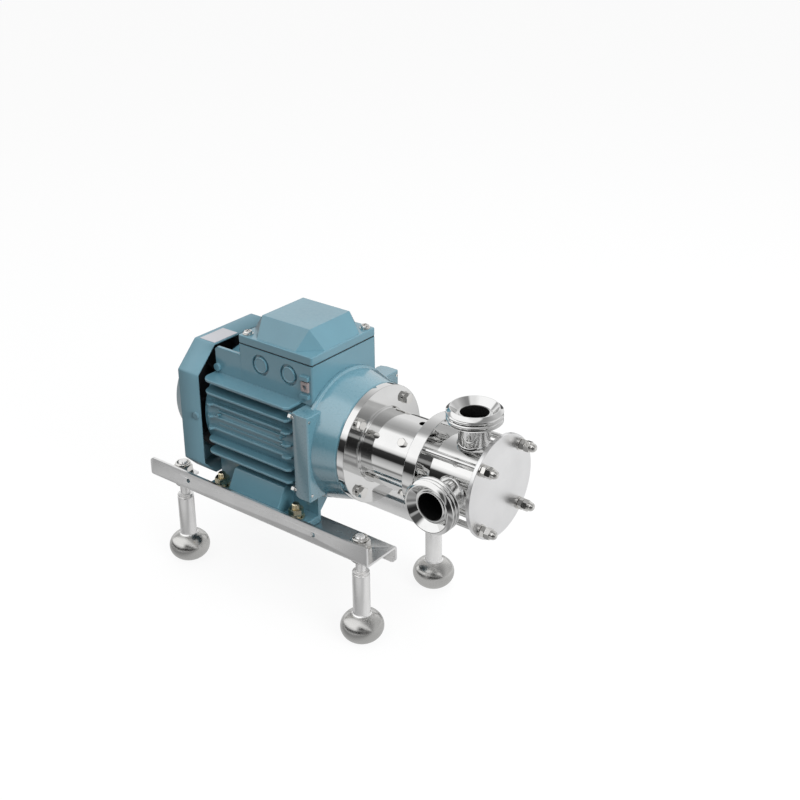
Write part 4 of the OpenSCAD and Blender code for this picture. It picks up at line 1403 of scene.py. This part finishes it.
@dataclass
class BoxLid:
    """Lid of the terminal box: plate, raised middle and two screws."""

    rear: float = BOX_REAR
    front: float = BOX_FRONT
    side: float = BOX_SIDE
    low: float = 85.2
    plate: float = 93.3
    peak: float = 111.9
    peak_side: float = 28.9
    rear_slope: float = 17.1
    front_slope: float = 17.3
    screw_inset: float = 7.0

    def cover(self) -> Form:
        """Plate and raised middle, whose corners slope down as triangles.

        Returns:
            The lid.
        """
        middle = (self.rear + self.front) / 2
        foot_x = (self.front - self.rear) / 2 - 2.1
        foot_y = self.side - 2.6
        top_x = (self.front - self.front_slope - self.rear - self.rear_slope) / 2
        foot = [(foot_x, foot_y - 18.5), (foot_x - 20.7, foot_y)]
        points: list[Point] = []
        for sx in BOTH_SIDES:
            for sy in BOTH_SIDES:
                points.append((middle + sx * top_x, sy * self.peak_side, self.peak))
                for x, y in foot:
                    points.append((middle + sx * x, sy * y, self.plate))
                    points.append((middle + sx * x, sy * y, self.plate - 1.0))
        plate = Form.block((self.rear, -self.side, self.low), (self.front, self.side, self.plate))
        plate.soften(2.0, 4, 28, lambda e: abs((e.verts[0].co - e.verts[1].co).z) > 5)
        return plate.soften(0.9, 3, 50).join(Form.hull(points).soften(0.5, 2, 12))

    def screw(self) -> Form:
        """Pan head screw with a washer and a crossed recess, on the Z axis.

        Returns:
            The screw with its washer.
        """
        z = self.plate
        washer = Form.ring(z, z + 0.9, 2.2, 5.2, Axis.Z).soften(0.25, 2)
        shank = [(z - 9, 0), (z - 9, 2), (z + 0.9, 2)]
        pan = [(z + 0.9, 4.3), (z + 2.4, 4.3), (z + 3.4, 3.5), (z + 3.8, 2.2), (z + 3.8, 0)]
        head = Form.turned(shank + pan, Axis.Z, steps=48)
        for degrees in (20, 110):
            head.cut(Form.block((-2.6, -0.5, z + 2.2), (2.6, 0.5, z + 5)).moved(turn(degrees, Axis.Z)))
        return head.join(washer)

    def dress(self, shop: Workshop) -> None:
        """Builds the lid and its screws.

        Args:
            shop: Workshop that makes the pieces.
        """
        shop.piece("lid_casting", self.cover(), "motor_paint", ("box_lid",))
        inset = self.screw_inset
        spots = [shift(self.rear + inset, inset - self.side), shift(self.front - inset, self.side - inset)]
        shop.piece("lid_screw_set", self.screw().repeated(spots), "bright_stainless", ("lid_screws",))


@dataclass
class Lantern:
    """Flanged tube between the motor and the pump."""

    flange_r: float = 58.5
    flange_t: float = 8.0
    tube_r: float = 36.5
    length: float = 69.0
    bore_r: float = 33.5
    register_r: float = 40.0
    register_depth: float = 3.1
    bolt_circle: float = 50.0
    washer_t: float = 1.4
    leak_x: float = 56.0
    leak_r: float = 3.5

    def tube(self) -> Form:
        """Flange, shoulder and tube, with the leak holes.

        Returns:
            The lantern.
        """
        t, r, out = self.flange_t, self.tube_r, self.flange_r
        bore, wide, deep = self.bore_r, self.register_r, self.register_depth
        flange = [(0, wide), (0, out), (t, out), (t, r + 1.0), (t + 1.6, r + 1.0)]
        tube = [(t + 2.2, r), (self.length, r), (self.length, bore), (deep, bore), (deep, wide)]
        form = Form.turned(flange + tube, steps=144).soften(0.55, 3, 40)
        return form.cut(Form.rod(-45, 45, self.leak_r, Axis.Z, (self.leak_x, 0, 0), 40))

    def bolts(self) -> Form:
        """Hexagon bolts on the bolt circle.

        Returns:
            The four bolts.
        """
        t, r = self.flange_t, self.bolt_circle
        seat = t + self.washer_t
        head = Form.nut(seat, seat + 4.3, 10.0).moved(turn(15)).moved(shift(0, 0, r))
        shank = Form.rod(-12, seat + 0.5, 2.9, centre=(0, 0, r))
        return head.join(shank).repeated(DIAGONALS)

    def washers(self) -> Form:
        """Flat washers under the bolts.

        Returns:
            The four washers.
        """
        t = self.flange_t
        ring = Form.ring(t, t + self.washer_t, 3.2, 6.0, centre=(0, 0, self.bolt_circle))
        return ring.soften(0.3, 2).repeated(DIAGONALS)

    def screws(self) -> Form:
        """Small hexagon head screws in the end of the tube.

        Returns:
            The four screws.
        """
        z = self.tube_r
        place = shift(self.length - 17, 0, 0)
        head = Form.nut(z - 0.3, z + 3.2, 7.4).moved(turn(-90, Axis.Y))
        shank = Form.rod(28, z + 0.5, 2.3, Axis.Z)
        return head.join(shank).moved(place).repeated(DIAGONALS)

    def dress(self, shop: Workshop) -> None:
        """Builds the lantern and its fasteners.

        Args:
            shop: Workshop that makes the pieces.
        """
        shop.piece("lantern_turned", self.tube(), "polished_stainless", ("lantern",))
        shop.piece("lantern_bolt_set", self.bolts(), "bright_stainless", ("lantern_bolts",))
        shop.piece("lantern_washer_set", self.washers(), "bright_stainless", ("lantern_washers",))
        shop.piece("lantern_screw_set", self.screws(), "bright_stainless", ("lantern_screws",))


@dataclass
class PumpHead:
    """Flange, casing, unions, cover and tie rods of the pump."""

    flange_x: float = 69.0
    casing_x: float = 82.0
    cover_x: float = 139.0
    cover_t: float = 4.0
    cover_r: float = 49.5
    casing_r: float = 37.0
    chamber_r: float = 32.5
    port_x: float = 113.4
    port_bore: float = 13.0
    port_r: float = 14.5
    bore_step: float = 42.0
    union_r: float = 26.0
    union_low: float = 57.0
    union_rim: float = 71.0
    thread_pitch: float = 4.2
    thread_start: float = 1.2
    thread_depth: float = 2.0
    cup_depth: float = 6.4
    rod_circle: float = 43.0
    rod_r: float = 3.0
    nut_flats: float = 9.6
    washer_t: float = 1.2
    dome_r: float = 4.2

    def flange(self) -> Form:
        """Pump flange with the spigot in the lantern.

        Returns:
            The flange.
        """
        x, r = self.flange_x, self.cover_r
        spigot = [(x - 23, 21.5), (x - 23, 32.6), (x - 22, 33.4), (x, 33.4)]
        disc = [(x, r), (x + 13, r), (x + 13, 32), (x + 19, 32)]
        bore = [(x + 19, 19), (x - 9, 19), (x - 9, 12), (x - 13, 12), (x - 15, 21.5)]
        form = Form.turned(spigot + disc + bore, steps=144).soften(0.8, 3, 40)
        return form.cut(Form.rod(-45, 45, 3.6, Axis.Z, (x - 13, 0, 0), 40))

    def casing(self) -> Form:
        """Casing tube with both port holes and the seat of the cam screw.

        Returns:
            The casing.
        """
        form = Form.ring(self.casing_x, self.cover_x, self.chamber_r, self.casing_r, steps=144)
        hole = self.port_r - 0.4
        form.cut(Form.rod(10, 45, hole, Axis.Z, (self.port_x, 0, 0), 64))
        form.cut(Form.rod(-45, -10, hole, Axis.Y, (self.port_x, 0, 0), 64))
        seat = Form.rod(self.casing_r - 2.6, 45, 4.3, Axis.Z, (self.port_x, 0, 0), 40).moved(turn(45))
        return form.cut(seat)

    def union(self) -> Form:
        """Port union on the Z axis: tube, weld, round thread and cupped end.

        Returns:
            The union, at its place along the shaft.
        """
        a, b, r = self.union_low, self.union_rim, self.union_r
        bore, tube, step = self.port_bore, self.port_r, self.bore_step
        first = a + self.thread_start
        row = 0.3
        rows = int((b - a - self.thread_pitch) / row)
        thread = [(first + row * i, r) for i in range(rows + 1)]
        inside = [(step, bore), (step, bore - 0.5), (29.0, bore - 0.5), (29.0, tube)]
        neck = [(a - 2.2, tube), (a - 1.0, tube + 0.5), (a - 0.2, tube + 2.0)]
        shoulder = [(a, r - 3.2), (a + 0.4, r - 2.0)]
        rim = [(b - 2.0, r - 1.7), (b - 0.4, r - 2.9), (b, r - 3.3), (b, r - 4.0)]
        floor = b - self.cup_depth
        cup = [(floor, r - 9.8), (floor, bore + 1.8), (floor + 1.0, bore + 1.6), (floor + 1.2, bore + 1.2),
               (floor + 1.2, bore + 0.4), (floor + 0.8, bore)]
        form = Form.turned(inside + neck + shoulder + thread + rim + cup, Axis.Z, steps=144)
        low, high = first - 0.1, thread[-1][0] + 0.1
        for vert in form.bm.verts:
            radius = math.hypot(vert.co.x, vert.co.y)
            if low < vert.co.z < high and radius > r - 2.5:
                turn_share = math.atan2(vert.co.y, vert.co.x) / math.tau
                wave = abs(math.cos(math.pi * ((vert.co.z - first) / self.thread_pitch - turn_share)))
                fade = min(1.0, (high - vert.co.z) / 1.2, (vert.co.z - low + 0.6) / 1.2)
                scale = 1 - self.thread_depth * (1 - wave) * fade / radius
                vert.co.x *= scale
                vert.co.y *= scale
        return form.join(self.weld()).moved(shift(self.port_x))

    def weld(self) -> Form:
        """Weld seam where a port tube meets the casing.

        Returns:
            The seam, on the Z axis.
        """
        seam, r = self.casing_r, self.port_r
        profile = [(30, r - 0.8), (30, r + 1.5), (36.5, r + 1.5), (39.0, r + 0.3), (39.4, r - 0.8)]
        form = Form.turned(profile, Axis.Z, steps=96)
        for vert in form.bm.verts:
            saddle = math.sqrt(max(0.0, seam ** 2 - vert.co.y ** 2)) - seam
            vert.co.z += saddle
        return form.soften(0.5, 3, 30)

    def cover(self) -> Form:
        """Front cover plate."""
        return Form.rod(self.cover_x, self.cover_x + self.cover_t, self.cover_r, steps=160).soften(0.5, 3)

    def rods(self) -> Form:
        """Tie rods between the flange and the cover.

        Returns:
            The four rods.
        """
        end = self.cover_x + self.cover_t + 11
        rod = Form.rod(self.flange_x + 2, end, self.rod_r, centre=(0, 0, self.rod_circle))
        return rod.repeated(DIAGONALS)

    def nuts(self) -> Form:
        """Plain nuts on the cover.

        Returns:
            The four nuts.
        """
        x = self.cover_x + self.cover_t + self.washer_t
        nut = Form.nut(x, x + 4.6, self.nut_flats, True).moved(turn(10))
        return nut.moved(shift(0, 0, self.rod_circle)).repeated(DIAGONALS)

    def washers(self) -> Form:
        """Washers under the plain nuts.

        Returns:
            The four washers.
        """
        x = self.cover_x + self.cover_t
        ring = Form.ring(x, x + self.washer_t, 3.1, 6.0, centre=(0, 0, self.rod_circle))
        return ring.soften(0.3, 2).repeated(DIAGONALS)

    def domes(self) -> Form:
        """Dome nuts that close the tie rods.

        Returns:
            The four dome nuts.
        """
        x = self.cover_x + self.cover_t + 6.0
        hexagon = Form.nut(x, x + 5.4, self.nut_flats).moved(turn(25))
        r = self.dome_r
        ball = [(px, py) for py, px in arc(0, x + 6.8, r, 0, 90, 14)][:-1]
        dome = Form.turned([(x + 3, 0), (x + 3, r), *ball, (x + 6.8 + r, 0)], steps=48)
        return hexagon.join(dome).moved(shift(0, 0, self.rod_circle)).repeated(DIAGONALS)

    def cam_screw(self) -> Form:
        """Sunk screw that holds the cam.

        Returns:
            The screw.
        """
        z = self.casing_r
        head = Form.rod(z - 6, z - 0.3, 4.2, Axis.Z, (self.port_x, 0, 0), 48).soften(0.4, 2)
        socket = Form.nut(z - 2.4, z + 1, 4.0).moved(turn(-90, Axis.Y)).moved(shift(self.port_x))
        return head.cut(socket).moved(turn(45))

    def dress(self, shop: Workshop) -> None:
        """Builds the pump head.

        Args:
            shop: Workshop that makes the pieces.
        """
        shop.piece("flange_turned", self.flange(), "polished_stainless", ("pump_flange",))
        # The inside of the casing and the bores of the unions wear near-black steel: painted shade.
        shop.piece("casing_turned", self.casing(), "polished_stainless", ("pump_casing",),
                   inner=lambda p: math.hypot(p.y, p.z) < self.chamber_r + 0.5)
        shop.piece("outlet_union_turned", self.union(), "polished_stainless", ("outlet_union",),
                   inner=lambda p: math.hypot(p.x - self.port_x, p.y) < self.port_bore + 0.2)
        shop.piece("inlet_union_turned", self.union().moved(turn(90)), "polished_stainless",
                   ("inlet_union",),
                   inner=lambda p: math.hypot(p.x - self.port_x, p.z) < self.port_bore + 0.2)
        shop.piece("cover_plate", self.cover(), "cover_stainless", ("front_cover",))
        shop.piece("tie_rod_set", self.rods(), "polished_stainless", ("tie_rods",))
        shop.piece("cover_nut_set", self.nuts(), "bright_stainless", ("cover_nuts",))
        shop.piece("cover_washer_set", self.washers(), "bright_stainless", ("cover_washers",))
        shop.piece("dome_nut_set", self.domes(), "bright_stainless", ("dome_nuts",))
        shop.piece("cam_screw_turned", self.cam_screw(), "satin_steel", ("cam_screw",))


@dataclass
class Inside:
    """What the motor and the pump hold inside, kept in its CAD shape."""

    def dress(self, shop: Workshop) -> None:
        """Gives every node that is still plain the finish of its slot.

        Args:
            shop: Workshop that makes the pieces.
        """
        slots = {part["node"]: part["material_slot"] for part in frame["record"]["subparts"]}
        for node, obj in sorted(frame["nodes"].items()):
            if not obj.hide_render and "weld" not in obj.modifiers:
                shop.polish(node, slots[node])


@dataclass
class Studio:
    """Pale floor, white surround, soft lamps and the camera."""

    eye: Point = (0.72315, -0.82576, 0.74904)
    right: Point = (0.795, 0.6066, -0.0035)
    down: Point = (0.2344, -0.3124, -0.9206)
    lens: float = 56.88
    shift_x: float = -0.0231
    shift_y: float = -0.0853
    floor_size: float = 40.0
    floor_glow: float = 0.88
    # Greys that polished metal sees on the floor, by place across it: painted reflections. The dark strips
    # near the object paint its shadow and underside.
    painted_floor_reflections: Outline = field(default_factory=lambda: [
        (-2.2, 0.02), (-1.3, 0.30), (-0.59, 0.62), (-0.38, 0.80), (-0.31, 0.72), (-0.285, 0.24),
        (-0.25, 0.24), (-0.225, 0.62), (-0.17, 0.58), (-0.13, 0.30), (-0.10, 0.32), (-0.08, 0.58),
        (-0.02, 0.70), (0.03, 0.64), (0.10, 0.72), (0.18, 0.92), (0.26, 0.90), (0.40, 0.25), (1.4, 0.10)])
    # The same painted reflections on the floor in front of the object, by place across it.
    painted_front_reflections: Outline = field(default_factory=lambda: [
        (-1.6, 0.02), (-0.7, 0.05), (-0.45, 0.15), (-0.30, 0.55), (-0.22, 0.20), (-0.05, 0.50),
        (0.12, 0.72), (0.24, 0.82), (0.38, 0.92), (0.6, 0.92), (1.4, 0.85)])
    # Where the front painted reflections take over, by place along the floor.
    front_reflection_place: Outline = field(default_factory=lambda: [(0.20, 0.0), (0.34, 1.0)])
    sky_bands: Outline = field(default_factory=lambda: [
        (-90, 0.85), (-52, 0.85), (-24, 0.52), (-8, 0.39), (3, 0.42), (8, 0.64), (15, 1.1), (60, 1.15),
        (70, 0.8), (75, 0.04), (90, 0.02)])
    front_bands: Outline = field(default_factory=lambda: [
        (-90, 0.55), (-52, 0.60), (-30, 0.42), (-5, 0.28), (8, 0.28), (16, 0.9), (36, 0.9), (41, 0.08),
        (56, 0.08), (60, 0.40), (66, 0.40), (70, 0.03), (90, 0.02)])
    sky_light: Outline = field(default_factory=lambda: [(0.0, 0.08), (0.4, 0.34), (1.0, 1.05)])

    def camera(self) -> None:
        """Sets the camera at the photograph's angle."""
        data = bpy.data.cameras.new("camera")
        data.lens = self.lens
        data.sensor_width = 36.0
        data.shift_x = self.shift_x
        data.shift_y = self.shift_y
        data.clip_start, data.clip_end = 0.05, 100.0
        obj = bpy.data.objects.new("camera", data)
        right = Vector(self.right).normalized()
        up = -Vector(self.down)
        up = (up - right * up.dot(right)).normalized()
        back = right.cross(up)
        obj.matrix_world = Matrix.Translation(self.eye) @ Matrix((right, up, back)).transposed().to_4x4()
        bpy.context.scene.collection.objects.link(obj)
        bpy.context.scene.camera = obj

    def floor(self) -> None:
        """Pale floor. The camera sees it white with a soft shadow.

        Polished metal sees it glow with grey strips: painted reflections, whose dark strips near the
        object paint its shadow and underside. Light that bounces off it finds it near-black, which paints
        shade under the object.
        """
        bm = bmesh.new()
        bmesh.ops.create_grid(bm, x_segments=4, y_segments=4, size=self.floor_size / 2)
        mesh = bpy.data.meshes.new("floor")
        bm.to_mesh(mesh)
        bm.free()
        obj = bpy.data.objects.new("floor", mesh)
        bpy.context.scene.collection.objects.link(obj)
        s = Wiring(bpy.data.materials.new("floor"))
        rays = s.node("ShaderNodeLightPath").outputs
        split = s.node("ShaderNodeSeparateXYZ")
        s.link(s.node("ShaderNodeTexCoord").outputs["Object"], split.inputs["Vector"])
        ahead = s.greys(split.outputs["X"], self.front_reflection_place)
        # Painted reflections: only glossy rays see these glowing strips.
        strips = s.pick(ahead, s.greys(split.outputs["Y"], self.painted_floor_reflections),
                        s.greys(split.outputs["Y"], self.painted_front_reflections))
        matt = s.node("ShaderNodeBsdfDiffuse")
        # Light that bounces off the floor finds it near-black: painted shade under the object. The camera
        # sees it pale.
        s.link(s.pick(rays["Is Camera Ray"], (0.07,) * 3, (0.95,) * 3), matt.inputs["Color"])
        glow = s.node("ShaderNodeEmission")
        s.link(s.pick(rays["Is Camera Ray"], strips, (1.0,) * 3), glow.inputs["Color"])
        either = s.math("MAXIMUM", rays["Is Camera Ray"], rays["Is Glossy Ray"])
        mix = s.node("ShaderNodeMixShader")
        s.link(s.math("MULTIPLY", either, self.floor_glow), mix.inputs[0])
        s.link(matt.outputs[0], mix.inputs[1])
        s.link(glow.outputs[0], mix.inputs[2])
        s.link(mix.outputs[0], s.node("ShaderNodeOutputMaterial").inputs["Surface"])
        mesh.materials.append(s.owner)

    def surround(self) -> None:
        """Studio round the object: white to the camera, with bright and dark bands for polished metal."""
        world = bpy.data.worlds.new("surround")
        bpy.context.scene.world = world
        s = Wiring(world)
        rays = s.node("ShaderNodeLightPath").outputs
        split = s.node("ShaderNodeSeparateXYZ")
        s.link(s.node("ShaderNodeTexCoord").outputs["Generated"], split.inputs["Vector"])
        across = s.math("ARCTAN2", s.math("MULTIPLY", split.outputs["Y"], -1.0), split.outputs["Z"])
        degrees = s.math("MULTIPLY", across, 180 / math.pi)
        bands = s.pick(s.spread(split.outputs["X"], 0.0, 1.0, 0.0, 0.3), s.greys(degrees, self.sky_bands),
                       s.greys(degrees, self.front_bands))
        light = s.greys(split.outputs["Z"], self.sky_light)
        seen = s.pick(rays["Is Camera Ray"], s.pick(rays["Is Glossy Ray"], light, bands), (1.0,) * 3)
        back = s.node("ShaderNodeBackground")
        s.link(seen, back.inputs["Color"])
        s.link(back.outputs[0], s.node("ShaderNodeOutputWorld").inputs["Surface"])

    def lamp(self, name: str, place: Point, size: float, power: float, tint: Point = (1, 1, 1)) -> None:
        """Square area lamp that faces the object. Its mirror image is part of the surround instead.

        Args:
            name: Name of the lamp.
            place: Where it stands, in metres.
            size: Length of its side.
            power: Its power in watts.
            tint: Its colour.
        """
        data = bpy.data.lights.new(name, "AREA")
        data.size = size
        data.energy = power
        data.color = tint
        obj = bpy.data.objects.new(name, data)
        obj.location = place
        away = Vector(place) - Vector((0.0, 0.0, SHAFT_Z))
        obj.rotation_euler = away.to_track_quat("Z", "Y").to_euler()
        obj.visible_glossy = False
        bpy.context.scene.collection.objects.link(obj)

    def light(self) -> None:
        """Places the lamps."""
        self.lamp("front_softbox", (1.75, -0.45, 0.85), 1.2, 34.0)
        self.lamp("near_softbox", (0.1, -1.1, 1.55), 1.2, 6.0, (0.97, 0.985, 1.0))
        self.lamp("top_softbox", (0.1, 0.5, 1.8), 1.2, 10.0, (0.96, 0.98, 1.0))

    def build(self) -> None:
        """Sets up the whole studio."""
        bpy.context.scene.view_settings.view_transform = "Standard"
        self.camera()
        self.floor()
        self.surround()
        self.light()


def main() -> None:
    """Builds the studio and the object's pieces in order."""
    logging.basicConfig(level=logging.INFO, format="%(name)s: %(message)s")
    Studio().build()
    shop = Workshop()
    for part in (Rails(), AdjustableFeet(), MotorFixings(), StatorHousing(), MotorFeet(), FrontShield(),
                 FanHood(), BoxLid(), Lantern(), PumpHead(), Inside()):
        LOG.info("building %s", type(part).__name__)
        part.dress(shop)
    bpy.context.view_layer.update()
    LOG.info("made %d pieces", len(shop.made))


if __name__ == "__main__":
    main()
